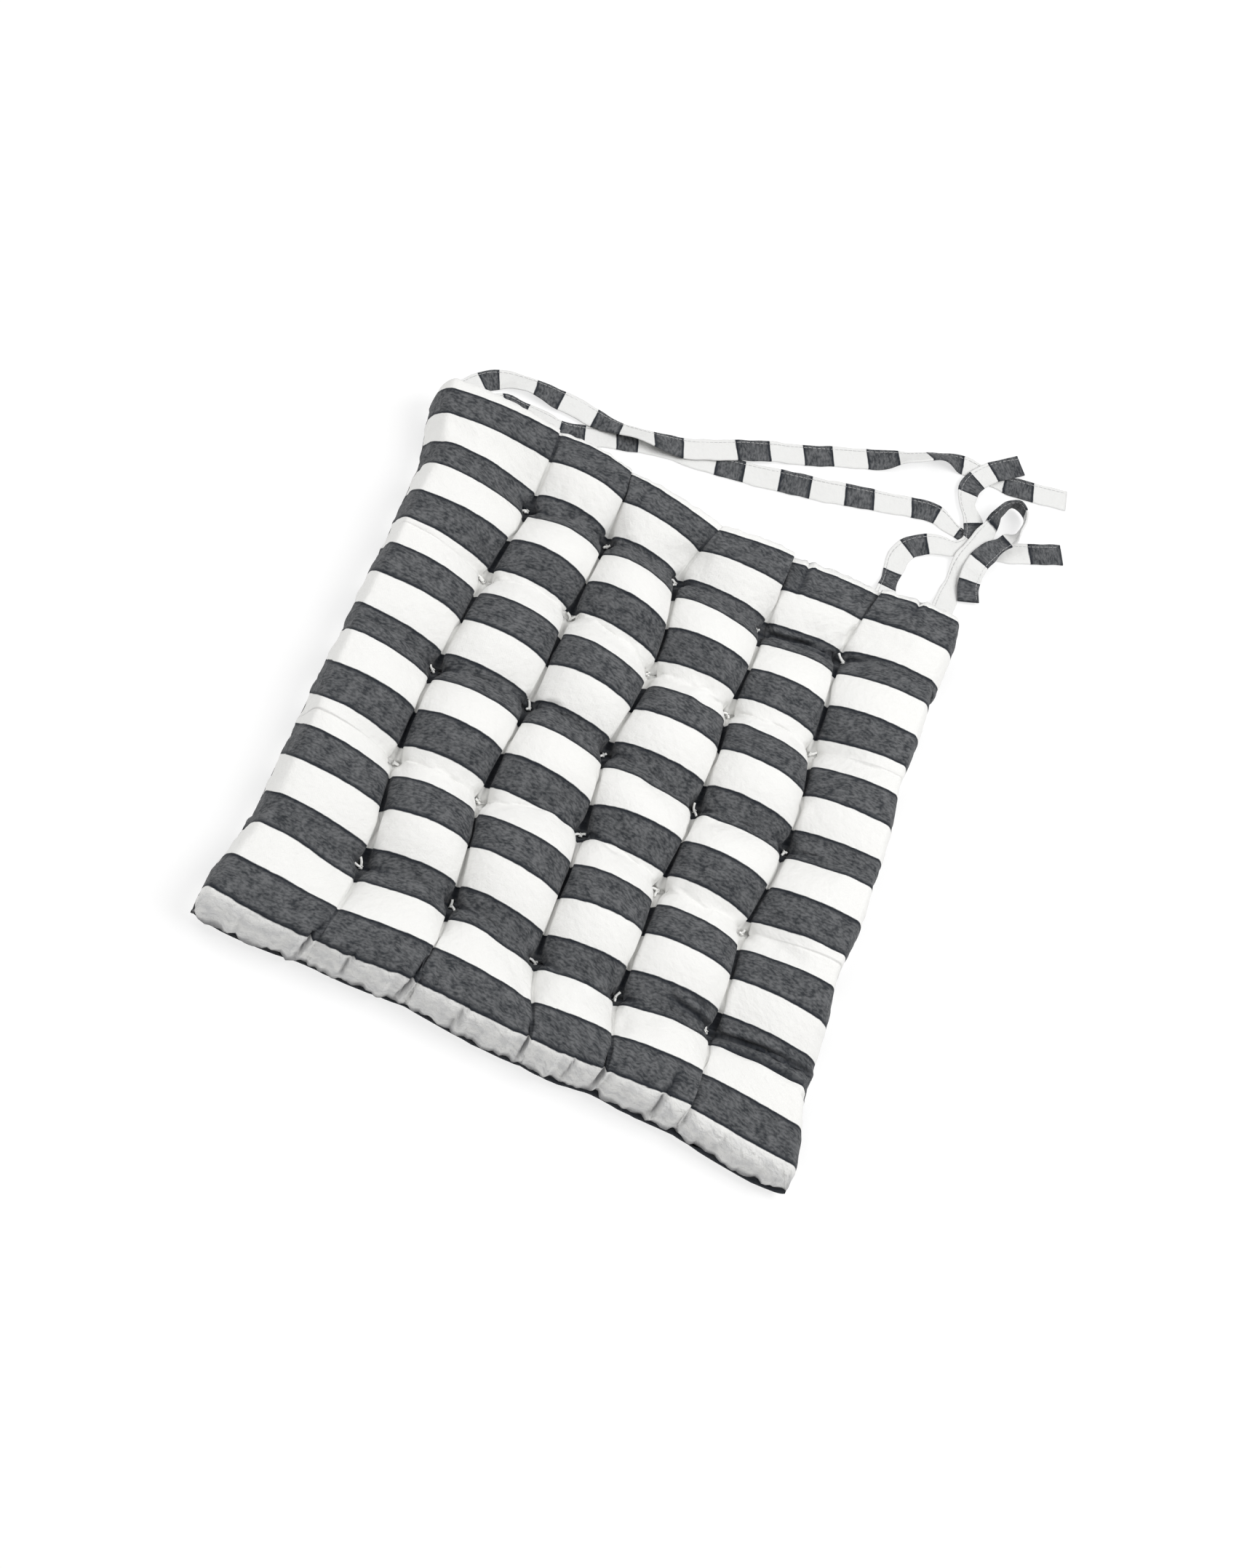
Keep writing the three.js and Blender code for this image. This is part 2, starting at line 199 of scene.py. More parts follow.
# %% The heights of the upper cloth
SEAM_HEIGHT = 10
TUFT_HEIGHT = 20
ROW_RISE = 13.5
CHANNEL_RISE = 7
PUFF_RISE = 3.5
EDGE_DEPTH = 0.18
FADE = {"from": 0.05, "to": 0.65}
PUFF_UNEVENNESS = np.array([
    [0, 1, -1, 1, 0, -2],
    [1, 0, 2, 0, -1, 1],
    [0, -1, 1, 0, 1, 0],
    [1, 1, 0, -1, 0, 1],
    [-1, 0, 1, 1, 0, -1],
    [0, 2, 0, 0, 1, 0],
])
ROW_SHARES = np.array([
    [1.1, 0.9, 1.0, 0.9, 0.4, 0.9],
    [1.2, 1.0, 1.1, 1.0, 1.0, 1.1],
    [1.1, 0.9, 1.0, 0.9, 0.9, 1.0],
    [1.2, 1.1, 1.0, 1.0, 1.0, 1.1],
    [1.1, 0.9, 0.9, 0.9, 0.8, 0.4],
])


def faded(dome, endways):
    """A crease is shallower near the seam at its end."""
    depth = 1 + (EDGE_DEPTH - 1) * smooth_step(FADE["from"], FADE["to"], near_seam(endways))
    return 1 - (1 - dome) * depth


def row_share(along, column):
    """The share of ROW_RISE at each place, eased from one row of tufts to the next."""
    before = np.clip(np.floor(along).astype(int) - 1, 0, len(ROW_SHARES) - 1)
    after = np.clip(np.floor(along).astype(int), 0, len(ROW_SHARES) - 1)
    share = along - np.floor(along)
    return ROW_SHARES[before, column] * (1 - share) + ROW_SHARES[after, column] * share


def upper_cloth(across, along):
    """Points of the upper cloth, in millimetres."""
    across_plan, across_wall, across_dome = puff_section(across, **CREASE["channel"])
    along_plan, along_wall, along_dome = puff_section(along, **CREASE["row"])
    column = np.clip(np.floor(across).astype(int), 0, CELLS - 1)
    row = np.clip(np.floor(along).astype(int), 0, CELLS - 1)
    across_dome = faded(across_dome, along)
    along_dome = faded(along_dome, across)
    rise = TUFT_HEIGHT - SEAM_HEIGHT
    rise = rise + ROW_RISE * row_share(along, column) * across_dome
    rise = rise + CHANNEL_RISE * along_dome
    rise = rise + (PUFF_RISE + PUFF_UNEVENNESS[row, column]) * across_dome * along_dome
    x, y = outline_place(across_plan, along_plan)
    return np.stack([x, y, SEAM_HEIGHT + rise * across_wall * along_wall], 1)


inner_puffs = np.arange(CELLS)[1:-1] + 0.5
print("crests of inner puffs in mm:", upper_cloth(inner_puffs, inner_puffs)[:, 2].round(1))

# %% [markdown]
# ## The lower cloth
# Below the seam the filling pushes the lower cloth out a little before it turns under, most of all
# at the front right, where a dark edge of it shows past the seam. The weight of the pad flattens it
# on whatever it lies on, and the tuft threads pull it up into shallow dimples. It has the same
# places as the upper cloth, so that the two can share the seam's points.

# %% The lower cloth
TURN_SHARE = 0.34
SIDE_TURN_BULGE = 0.012
FRONT_TURN_BULGE = {"left": 0.004, "right": 0.052, "growth": 0.6}
TURN_UNDER = 0.07
DIMPLE = {"depth": 3.0, "radius": 11}


def turned_under(places, bulge):
    """The plan place on the net and the height's share, for one coordinate of the lower cloth."""
    cell = np.clip(np.floor(places), 0, CELLS - 1)
    outer = (cell == 0) | (cell == CELLS - 1)
    inwards = np.where(cell == 0, places, CELLS - places)
    turn = np.minimum(inwards / TURN_SHARE, 1)
    beyond = np.maximum(0, (inwards - TURN_SHARE) / (1 - TURN_SHARE))
    plan = TURN_UNDER * turn**2 - bulge * np.sin(np.pi * turn)
    plan = plan + (1 - TURN_UNDER) * beyond
    plan = np.where(outer, np.where(cell == 0, plan, CELLS - plan), places)
    return plan, np.where(outer, np.cos(np.pi / 2 * turn), 0)


def lower_cloth(across, along):
    """Points of the lower cloth, in millimetres."""
    more = FRONT_TURN_BULGE["right"] - FRONT_TURN_BULGE["left"]
    grown = (across / CELLS) ** FRONT_TURN_BULGE["growth"]
    front_bulge = FRONT_TURN_BULGE["left"] + more * grown
    bulge = np.where(along > CELLS / 2, front_bulge, SIDE_TURN_BULGE)
    across_plan, across_height = turned_under(across, SIDE_TURN_BULGE)
    along_plan, along_height = turned_under(along, bulge)
    x, y = outline_place(across_plan, along_plan)
    height = SEAM_HEIGHT * np.maximum(across_height, along_height)
    for knot_x, knot_y in NET[1:-1, 1:-1].reshape(-1, 2):
        distance = np.hypot(x - knot_x, y - knot_y)
        height = height + DIMPLE["depth"] * np.exp(-((distance / DIMPLE["radius"]) ** 2))
    return np.stack([x, y, height], 1)


middle = np.array([CELLS / 2])
print("dimple under the middle tuft in mm:", lower_cloth(middle, middle)[0, 2].round(1))

# %% [markdown]
# ## Two cloths, one closed mesh
# Both cloths are grids with the same lines, closer together at the creases, and they are stitched
# at the rim. A grid keeps every point's place on the cloth, so stripes, gathers and threads can be
# put where they belong, which a remeshed blob of a cushion would lose.

# %% A closed mesh of two grids
LINE_SQUEEZE = {1: 0.45, 2: 0.3}


def grid_lines(steps):
    """The places of a grid's lines, with so many steps to a puff, closer together at the creases."""
    share = np.arange(steps) / steps
    inner = share.copy()
    for wave, squeeze in LINE_SQUEEZE.items():
        inner -= squeeze * np.sin(2 * np.pi * wave * share) / (2 * np.pi * wave)
    lines = [cell + inner for cell in range(CELLS)]
    return np.append(np.concatenate(lines), CELLS)


def grid_places(steps):
    """The across and along of every point of a grid, row by row from the back."""
    lines = grid_lines(steps)
    along, across = np.meshgrid(lines, lines, indexing="ij")
    return across.ravel(), along.ravel()


def closed_faces(size, every=1):
    """The faces of an upper grid and a lower one with fewer lines, and the lower points' numbers."""
    upper = np.arange(size * size).reshape(size, size)
    lower = upper.copy()
    kept = slice(every, -1, every)
    inner = lower[kept, kept]
    lower[kept, kept] = size * size + np.arange(inner.size).reshape(inner.shape)
    quads = np.stack([upper[:-1, :-1], upper[1:, :-1], upper[1:, 1:], upper[:-1, 1:]], -1)
    faces = quads.reshape(-1, 4).tolist()
    last = size - 1
    for row in range(0, last, every):
        for column in range(0, last, every):
            rows, columns = range(row + 1, row + every), range(column + 1, column + every)
            face = [lower[row, column]]
            face += [lower[0, place] for place in columns if row == 0]
            face.append(lower[row, column + every])
            face += [lower[place, last] for place in rows if column + every == last]
            face.append(lower[row + every, column + every])
            face += [lower[last, place] for place in reversed(columns) if row + every == last]
            face.append(lower[row + every, column])
            face += [lower[place, 0] for place in reversed(rows) if column == 0]
            faces.append([int(index) for index in face])
    return faces, lower


def closed_points(upper, lower, every=1):
    """The points of both grids, with the rim's taken from the upper one."""
    size = math.isqrt(len(upper))
    kept = slice(every, -1, every)
    return np.concatenate([upper, lower.reshape(size, size, 3)[kept, kept].reshape(-1, 3)])


def add_mesh(name, points, faces):
    """A smooth mesh from points in millimetres."""
    mesh = bpy.data.meshes.new(name)
    mesh.from_pydata((np.asarray(points) * MM).tolist(), [], faces)
    mesh.validate()
    mesh.shade_smooth()
    piece = bpy.data.objects.new(name, mesh)
    bpy.context.scene.collection.objects.link(piece)
    return piece


print("lines of a puff with ten steps:", grid_lines(10)[:11].round(2))

# %% [markdown] ## Let the filling settle The formulas give every puff the same ideal dome. Real
# filling presses on cloth that can't stretch, and the cloth answers with uneven bulges and soft
# wrinkles between the tufts. A cloth simulation finds those: a coarse copy of the pad gets a
# little pressure from inside and slightly more cloth than it needs. It is held firmly at the
# tufts and the underside and loosely at the channels and the seam. Only how far each point moved
# is kept, within a limit, and added to the fine pad. So the simulation shapes the puffs without
# moving the tufts, and takes seconds instead of minutes.

# %% Simulate a coarse pad
SIM_STEPS = 10
SIM_FRAMES = 24
SIM_LIMIT = 2.0
SIM_CLOTH = {"pressure": 1.6, "spare_cloth": 0.02, "stretch": 10, "bending": 0.4, "quality": 6}
HOLD = {"tuft": 1.0, "channel": 0.32, "row": 0.04, "seam": 0.5, "underside": 1.0}
HOLD_WIDTH = 0.05
SEAM_HOLD_START = 0.9


def hold_weights(across, along):
    """How firmly each point of the upper cloth is held."""
    from_channel, from_row = across - np.round(across), along - np.round(along)
    on_channel = np.exp(-(from_channel / HOLD_WIDTH) ** 2) * (near_seam(across) < 1)
    on_row = np.exp(-(from_row / HOLD_WIDTH) ** 2) * (near_seam(along) < 1)
    held = np.maximum(HOLD["channel"] * on_channel, HOLD["row"] * on_row)
    held = np.maximum(held, HOLD["tuft"] * on_channel * on_row)
    rim = np.maximum(near_seam(across), near_seam(along))
    return np.maximum(held, HOLD["seam"] * smooth_step(SEAM_HOLD_START, 1, rim))


def settled_shift():
    """How far each point of the coarse upper cloth moves, in millimetres."""
    across, along = grid_places(SIM_STEPS)
    upper, lower = upper_cloth(across, along), lower_cloth(across, along)
    faces = closed_faces(math.isqrt(len(across)))[0]
    points = closed_points(upper, lower)
    pad = add_mesh("settling", points, faces)
    hold = pad.vertex_groups.new(name="hold")
    weights = np.full(len(points), HOLD["underside"])
    weights[: len(across)] = hold_weights(across, along)
    for index, weight in enumerate(weights):
        hold.add([index], float(weight), "REPLACE")
    cloth = pad.modifiers.new("settle", "CLOTH")
    cloth.settings.vertex_group_mass = "hold"
    cloth.settings.pin_stiffness = 1.0
    cloth.settings.use_pressure = True
    cloth.settings.uniform_pressure_force = SIM_CLOTH["pressure"]
    cloth.settings.shrink_min = -SIM_CLOTH["spare_cloth"]
    cloth.settings.tension_stiffness = SIM_CLOTH["stretch"]
    cloth.settings.compression_stiffness = SIM_CLOTH["stretch"]
    cloth.settings.bending_stiffness = SIM_CLOTH["bending"]
    cloth.settings.quality = SIM_CLOTH["quality"]
    cloth.settings.effector_weights.gravity = 0
    cloth.point_cache.frame_start = 1
    cloth.point_cache.frame_end = SIM_FRAMES
    scene = bpy.context.scene
    for number in range(1, SIM_FRAMES + 1):
        scene.frame_set(number)
    settled = pad.evaluated_get(bpy.context.evaluated_depsgraph_get())
    moved = np.array([point.co[:] for point in settled.data.vertices]) / MM
    shift = (moved - points)[: len(across)]
    scene.frame_set(1)
    bpy.data.objects.remove(pad)
    length = np.linalg.norm(shift, axis=1, keepdims=True)
    return shift * SIM_LIMIT * np.tanh(length / SIM_LIMIT) / np.maximum(length, 1e-6)


shift = settled_shift()
if shift is not None:
    print("cloth settled, largest move in mm:", np.abs(shift).max().round(2))

# %% [markdown]
# ## Creases, gathers and folds
# Sewn channels and gathers are finer than the coarse pad, so they come after the settling. Each is
# a soft trough pressed into the fine cloth along its own normal: a narrow one along each channel,
# rays round each tuft where the thread pulls, gathers where cloth is eased into the seam, and the
# few long folds that this pad has where it has been sat on. A bump texture would be cheaper, but
# it casts no shadow and leaves the outline smooth. Each trough also says how shaded it is, since
# hardly any light reaches the bottom of a closed crease: the cloth's material darkens it by that.

# %% The troughs, places in puffs and sizes in millimetres
CHANNEL_GROOVE = {"depth": 2.4, "width": 1.1, "tuft_gap": 6, "end_loss": 0.8, "stagger": 171}
GROOVE_CHANGE = {"lengths": [31, 58, 97], "heights": [0.2, 0.25, 0.22]}
TUFT_PIT = {"depth": 3.6, "width": 4.6}
TUFT_RAYS = {"depth": 0.3, "reach": 13, "near": 4, "count": (5, 8)}
TUFT_TUCK = {"depth": 2.2, "width": 1.0, "slant": (-0.2, 0.1), "right": (11, 21), "left": (5, 11)}
FOLD_LIP = {"share": 0.4, "place": 2}
FOLD_END_SHARE = 0.15
FOLD_POINTS = 6
# The two ends of each fold, across and along, its depth and its width
FOLDS = [
    ((5.02, 4.99), (5.97, 5.02), 3.4, 1.8),
    ((5.10, 5.10), (5.97, 5.13), 3.2, 1.5),
    ((5.45, 5.17), (5.97, 5.22), 1.8, 1.2),
    ((4.45, 4.86), (4.97, 4.99), 3.2, 1.7),
    ((4.62, 4.80), (4.90, 4.87), 2.2, 1.2),
    ((4.05, 1.0), (4.96, 1.02), 3.4, 1.8),
    ((4.30, 1.07), (4.92, 1.09), 2.4, 1.3),
    ((5.02, 1.03), (5.30, 0.95), 1.8, 1.3),
    ((0.98, 5.60), (0.92, 5.98), 4.0, 1.0),
    ((1.38, 5.74), (1.33, 5.98), 2.2, 1.0),
    ((1.96, 5.58), (1.88, 5.98), 4.4, 1.0),
    ((2.45, 5.72), (2.40, 5.98), 2.0, 1.2),
    ((2.99, 5.60), (2.91, 5.98), 3.8, 1.0),
    ((3.55, 5.74), (3.50, 5.98), 2.0, 1.0),
    ((3.99, 5.56), (3.91, 5.98), 4.2, 1.1),
    ((4.72, 5.52), (4.62, 5.98), 4.6, 1.4),
    ((5.30, 5.76), (5.26, 5.98), 1.2, 1.2),
    ((4.25, 0.04), (4.22, 0.62), 2.6, 1.6),
    ((5.38, 0.04), (5.33, 0.45), 2.6, 1.6),
    ((4.10, 2.35), (4.45, 2.12), 0.9, 4.0),
    ((3.0, 4.02), (3.42, 4.05), 1.6, 2.0),
    ((2.02, 2.98), (2.40, 2.93), 1.0, 2.0),
]
FINE_STEPS = 48
LOWER_EVERY = 3
SEED = 12
rng = np.random.default_rng(SEED)


def grid_spread(coarse, coarse_steps, fine_steps):
    """Values on a coarse grid, spread smoothly over a fine one."""
    count = CELLS * coarse_steps + 1
    places = np.arange(CELLS * fine_steps + 1) * coarse_steps / fine_steps
    shares = spline_shares(places, count)
    grid = coarse.reshape(count, count, -1)
    return np.einsum("ai,ijk,bj->abk", shares, grid, shares).reshape(-1, grid.shape[2])


def grid_normals(points):
    """The unit normals of a square grid of points."""
    size = math.isqrt(len(points))
    grid = points.reshape(size, size, 3)
    normals = np.cross(np.gradient(grid, axis=1), -np.gradient(grid, axis=0)).reshape(-1, 3)
    return normals / np.maximum(np.linalg.norm(normals, axis=1, keepdims=True), 1e-9)


def near_line(points, line):
    """Each point's distance from a bent line, its share of the way along, and its side."""
    best = np.full(len(points), np.inf)
    share = np.zeros(len(points))
    side = np.zeros(len(points))
    for number, (start, end) in enumerate(zip(line[:-1], line[1:])):
        run = end - start
        part = np.clip((points - start) @ run / (run @ run), 0, 1)
        distance = np.linalg.norm(points - start - part[:, None] * run, axis=1)
        closer = distance < best
        best = np.where(closer, distance, best)
        share = np.where(closer, (number + part) / (len(line) - 1), share)
        away = points - start
        side = np.where(closer, np.sign(run[0] * away[:, 1] - run[1] * away[:, 0]), side)
    return best, share, side


def waves(place, lengths, heights):
    """A sum of sines of these lengths and heights, each starting somewhere of its own."""
    total = np.zeros_like(place)
    for length, height in zip(lengths, heights):
        total += height * np.sin(2 * np.pi * (place / length + rng.random()))
    return total


print("folds:", len(FOLDS))

# %% The trough and the shade of each kind of crease
PUFF_SIZE = 66
SHADE_WIDTH = {"channel": 0.9, "pit": 3.0, "tuck": 1.4, "fold": 1.3}
CHANNEL_SHADE = {"end_loss": 0.4, "start": (0.22, 0.32)}
PIT_SHADE = 0.7
FULL_SHADE_DEPTH = 3.2


def channel_grooves(across, along):
    """The sewn crease along each channel, fainter near the seam and never quite even."""
    channel = np.clip(np.round(across), 1, CELLS - 1)
    distance = np.abs(across - channel) * PUFF_SIZE
    fade = smooth_step(FADE["from"], FADE["to"], near_seam(along))
    place = along * PUFF_SIZE + channel * CHANNEL_GROOVE["stagger"]
    uneven = 1 + waves(place, **GROOVE_CHANGE)
    from_tuft = np.abs(along - np.clip(np.round(along), 1, CELLS - 1)) * PUFF_SIZE
    uneven = uneven * smooth_step(0, CHANNEL_GROOVE["tuft_gap"], from_tuft)
    depth = CHANNEL_GROOVE["depth"] * (1 - CHANNEL_GROOVE["end_loss"] * fade) * uneven
    shade = (1 - CHANNEL_SHADE["end_loss"] * fade) * np.clip(uneven, 0, 1)
    shade = shade * np.exp(-((distance / SHADE_WIDTH["channel"]) ** 2))
    shade = shade * smooth_step(*CHANNEL_SHADE["start"], 1 - near_seam(along))
    return depth * np.exp(-distance / CHANNEL_GROOVE["width"]), shade


def tuft_pit(dx, dy):
    """The pit of a tuft and the rays round it, by distance from the knot."""
    distance = np.hypot(dx, dy)
    turn = rng.integers(*TUFT_RAYS["count"]) * np.arctan2(dy, dx) + rng.random() * 2 * np.pi
    reach = np.exp(-distance / TUFT_RAYS["reach"]) * (1 - np.exp(-distance / TUFT_RAYS["near"]))
    pit = TUFT_PIT["depth"] * np.exp(-((distance / TUFT_PIT["width"]) ** 2))
    shade = PIT_SHADE * np.exp(-((distance / SHADE_WIDTH["pit"]) ** 2))
    return pit + TUFT_RAYS["depth"] * np.cos(turn) * reach, shade


def tuft_tuck(dx, dy, side, name):
    """The short tuck on one side of a tuft."""
    turn = rng.uniform(*TUFT_TUCK["slant"])
    ahead = side * (dx * math.cos(turn) + dy * math.sin(turn))
    beside = np.abs(dy * math.cos(turn) - dx * math.sin(turn))
    left = np.clip(1 - ahead / rng.uniform(*TUFT_TUCK[name]), 0, 1) * (ahead > 0)
    shade = np.sqrt(left) * np.exp(-((beside / SHADE_WIDTH["tuck"]) ** 2))
    return TUFT_TUCK["depth"] * left * np.exp(-beside / TUFT_TUCK["width"]), shade


def fold_crease(start, end, depth, width, across, along, points):
    """A fold's trough, with a low lip beside it."""
    line = []
    for share in np.linspace(0, 1, FOLD_POINTS):
        place = [first + share * (last - first) for first, last in zip(start, end)]
        line.append(points[np.argmin(np.hypot(across - place[0], along - place[1]))])
    distance, place, side = near_line(points, line)
    middle = 1 - (1 - 2 * np.minimum(place, 1 - place)) ** 4
    ends = FOLD_END_SHARE + (1 - FOLD_END_SHARE) * middle
    trough = np.exp(-((distance / width) ** 2))
    lip = np.exp(-((distance / width - FOLD_LIP["place"]) ** 2)) * (side > 0)
    strong = min(1, depth / FULL_SHADE_DEPTH) ** 1.5
    shade = strong * ends * np.exp(-((distance / width / SHADE_WIDTH["fold"]) ** 2))
    return depth * ends * (trough - FOLD_LIP["share"] * lip), shade


print("shaded creases:", ", ".join(SHADE_WIDTH))

# %% Press the troughs into the upper cloth
GATHER = {"front": 1.0, "back": 0.8, "sides": 0.3}
GATHER_RISE = {"from": 1 - WALL_SHARE * 1.6, "power": 1.5}
BACK_GATHER_END = 0.85
GATHER_LENGTHS = [5.2, 7.5, 10, 14, 19, 27]
GATHER_HEIGHTS = [0.2, 0.35, 0.45, 0.55, 0.45, 0.35]


def creases(across, along, points):
    """How far each point of the fine upper cloth is pressed in, and how shaded its crease is."""
    parts = [channel_grooves(across, along)]
    for knot_x, knot_y in NET[1:-1, 1:-1].reshape(-1, 2):
        dx, dy = points[:, 0] - knot_x, points[:, 1] - knot_y
        parts.append(tuft_pit(dx, dy))
        parts += [tuft_tuck(dx, dy, side, name) for side, name in ((1, "right"), (-1, "left"))]
    parts += [fold_crease(*fold, across, along, points) for fold in FOLDS]
    pressed = sum(part[0] for part in parts)
    for edge, place, line in (
        ("back", 1 - along, points[:, 0]),
        ("front", along - CELLS + 1, points[:, 0]),
        ("sides", near_seam(across), points[:, 1]),
    ):
        rim = smooth_step(GATHER_RISE["from"], 1, place) ** GATHER_RISE["power"]
        if edge == "back":
            rim = rim * (1 - smooth_step(BACK_GATHER_END, 1, place))
        pressed += GATHER[edge] * waves(line, GATHER_LENGTHS, GATHER_HEIGHTS) * rim
    return pressed, np.max([part[1] for part in parts], axis=0)


across, along = grid_places(FINE_STEPS)
upper = upper_cloth(across, along)
if shift is not None:
    upper += grid_spread(shift, SIM_STEPS, FINE_STEPS)
smooth_upper = upper.copy()
pressed, shade = creases(across, along, upper)
upper -= pressed[:, None] * grid_normals(upper)
print("deepest trough in mm:", pressed.max().round(2))

# %% The lower cloth's gathers
LOW_GATHER = {"depth": 0.35, "end": 0.2}
lower = lower_cloth(across, along)
rim = np.maximum(near_seam(across), near_seam(along))
low_gather = smooth_step(1 - TURN_SHARE, 1, rim) * smooth_step(0, LOW_GATHER["end"], 1 - rim)
front_or_back = near_seam(along) >= near_seam(across)
low_waves = waves(lower[:, 0], GATHER_LENGTHS, GATHER_HEIGHTS) * front_or_back
low_waves += waves(lower[:, 1], GATHER_LENGTHS, GATHER_HEIGHTS) * ~front_or_back
outwards = grid_normals(lower) * (-1, -1, 0)
lower += LOW_GATHER["depth"] * (low_gather * low_waves)[:, None] * outwards
print("lower cloth from", lower[:, 2].min().round(2), "to", lower[:, 2].max().round(2), "mm")

# %% [markdown]
# ## The stripes' place on the cloth
# The stripes are woven, so they follow the cloth over every puff. Each corner of the mesh carries
# its place on the flat cloth in UV maps, with one stripe's width as the unit. The map named cloth
# counts the stripes from the back seam, so the material only has to ask which stripe a point is in.
# The map named weave measures along the cloth itself, for the yarns. A stripe that was worked out
# from the height or the plan would slide off the cloth wherever it is pulled into a tuft. No pad is
# cut or filled quite evenly, so a small drift at each knot, and one more where the left wall turns
# down, put each stripe where this cloth has it.
#
# Two marks at the points go with the maps: crease is how shaded a point is, with the shadow under
# the front seam in it, and wall is 1 where the front and back walls lie in their own shade.

# %% Count the stripes
STRIPE = 24.0
TUFT_ROW_STRIPE = 3.5
STRIPES_PER_PUFF = 3.0
BACK_SEAM_STRIPE = 0.25
FRONT_SEAM_STRIPE = 19.1
LOWER_STRIPES = {"front": 1.3, "back": 19.6}
LEFT_WALL_SHIFT = {"stripes": 0.56, "until": (4.0, 5.5)}
LEAST_STRIPE = 0.05
STRIPE_DRIFT = np.array([
    [-0.8, -0.3, -0.1, -0.4, -0.2, -0.1, -0.2],
    [-0.35, 0.0, -0.25, -0.35, -0.15, -0.25, -0.15],
    [-0.4, -0.2, -0.4, -0.1, 0.0, -0.1, -0.15],
    [-0.05, 0.0, -0.3, -0.1, 0.25, 0.15, 0.1],
    [-0.1, -0.1, -0.1, -0.7, -0.1, -0.15, -0.25],
    [0.05, 0.0, 0.0, 0.25, 0.3, 0.15, -0.1],
    [-0.2, -0.5, -0.45, -0.45, -0.5, -0.3, -0.25],
])


def stripe_number(across, along):
    """Which stripe of the upper cloth a place is in: even ones are white, odd ones dark."""
    last_row = TUFT_ROW_STRIPE + STRIPES_PER_PUFF * (CELLS - 2)
    back = BACK_SEAM_STRIPE + (TUFT_ROW_STRIPE - BACK_SEAM_STRIPE) * along
    inner = TUFT_ROW_STRIPE + STRIPES_PER_PUFF * (along - 1)
    front = last_row + (FRONT_SEAM_STRIPE - last_row) * (along - (CELLS - 1))
    even = np.where(along < 1, back, np.where(along > CELLS - 1, front, inner))
    wall = 1 - np.sin(np.minimum(across / WALL_SHARE, 1) * np.pi / 2)
    wall = wall * (1 - smooth_step(*LEFT_WALL_SHIFT["until"], along))
    even = even + LEFT_WALL_SHIFT["stripes"] * wall
    shares = (spline_shares(place, CELLS + 1) for place in (along, across))
    drift = np.einsum("pi,ij,pj->p", next(shares), STRIPE_DRIFT, next(shares))
    return np.maximum(even + drift, LEAST_STRIPE)


def lower_stripe_number(along):
    """The lower cloth was cut where it fell, so its stripes start elsewhere."""
    run = LOWER_STRIPES["front"] - LOWER_STRIPES["back"]
    return LOWER_STRIPES["back"] + run * along / CELLS


stripes = stripe_number(across, along)
print("stripes of the upper cloth:", int(stripes.max()) + 1)

# %% Make the pad and mark its cloth
SEAM_SHADE = {"upper": (CELLS - 0.04, CELLS), "lower": (CELLS - 0.35, CELLS - 0.25)}


def cloth_run(points):
    """Each point's place on the flat cloth, in stripes: how far along its row and its column."""
    size = math.isqrt(len(points))
    runs = []
    for axis in (1, 0):
        steps = np.linalg.norm(np.diff(points.reshape(size, size, 3), axis=axis), axis=2)
        run = np.insert(np.cumsum(steps, axis=axis), 0, 0, axis=axis)
        runs.append(run - np.take(run, [size // 2], axis=axis))
    return np.stack(runs, 2).reshape(-1, 2) / STRIPE


def mark_points(piece, name, values):
    """Stores a value at each point of a piece."""
    piece.data.attributes.new(name, "FLOAT", "POINT").data.foreach_set("value", values)


def corner_points(piece):
    """The point at each corner of a piece's faces."""
    corners = np.zeros(len(piece.data.loops), int)
    piece.data.loops.foreach_get("vertex_index", corners)
    return corners


def map_cloth(piece, name, places):
    """Stores the place on the flat cloth of each corner of a piece's faces."""
    piece.data.uv_layers.new(name=name).uv.foreach_set("vector", places.ravel())


def pad_places(upper_places, lower_places):
    """The places of the pad's corners: the two cloths differ where they meet at the seam."""
    by_point = np.zeros((len(upper_places) * 2, 2))
    by_point[lower_index.ravel()] = lower_places
    corners = corner_points(pad)
    places = by_point[corners]
    count = 4 * (math.isqrt(len(upper_places)) - 1) ** 2
    places[:count] = upper_places[corners[:count]]
    return places


faces, lower_index = closed_faces(math.isqrt(len(across)), LOWER_EVERY)
pad = add_mesh("pad_cloth", closed_points(upper, lower, LOWER_EVERY), faces)
upper_run, lower_run = cloth_run(smooth_upper), cloth_run(lower)
upper_map = np.stack([upper_run[:, 0], stripes], 1)
lower_map = np.stack([lower_run[:, 0], lower_stripe_number(along)], 1)
map_cloth(pad, "cloth", pad_places(upper_map, lower_map))
map_cloth(pad, "weave", pad_places(upper_run, lower_run))
crease = np.zeros(len(pad.data.vertices))
crease[lower_index.ravel()] = smooth_step(*SEAM_SHADE["lower"], along)
crease[: len(across)] = np.maximum(shade, smooth_step(*SEAM_SHADE["upper"], along))
wall = np.zeros(len(pad.data.vertices))
wall[: len(across)] = smooth_step(1 - WALL_SHARE, 1 - WALL_SHARE / 2, near_seam(along))
mark_points(pad, "crease", crease)
mark_points(pad, "wall", wall)
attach(pad, BODY)
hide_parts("pad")
print("pad faces:", len(pad.data.polygons))

# %% [markdown]
# ## Tuft threads
# Each tuft is a doubled white thread that comes up through the pad, is knotted in the pit and cut
# off with two short tails, and it shows as a short stitch below. They are small, but they are what
# tells a tufted pad from a quilted one. A tail is a tube along a short bent line, and all the
# threads are joined into one mesh.

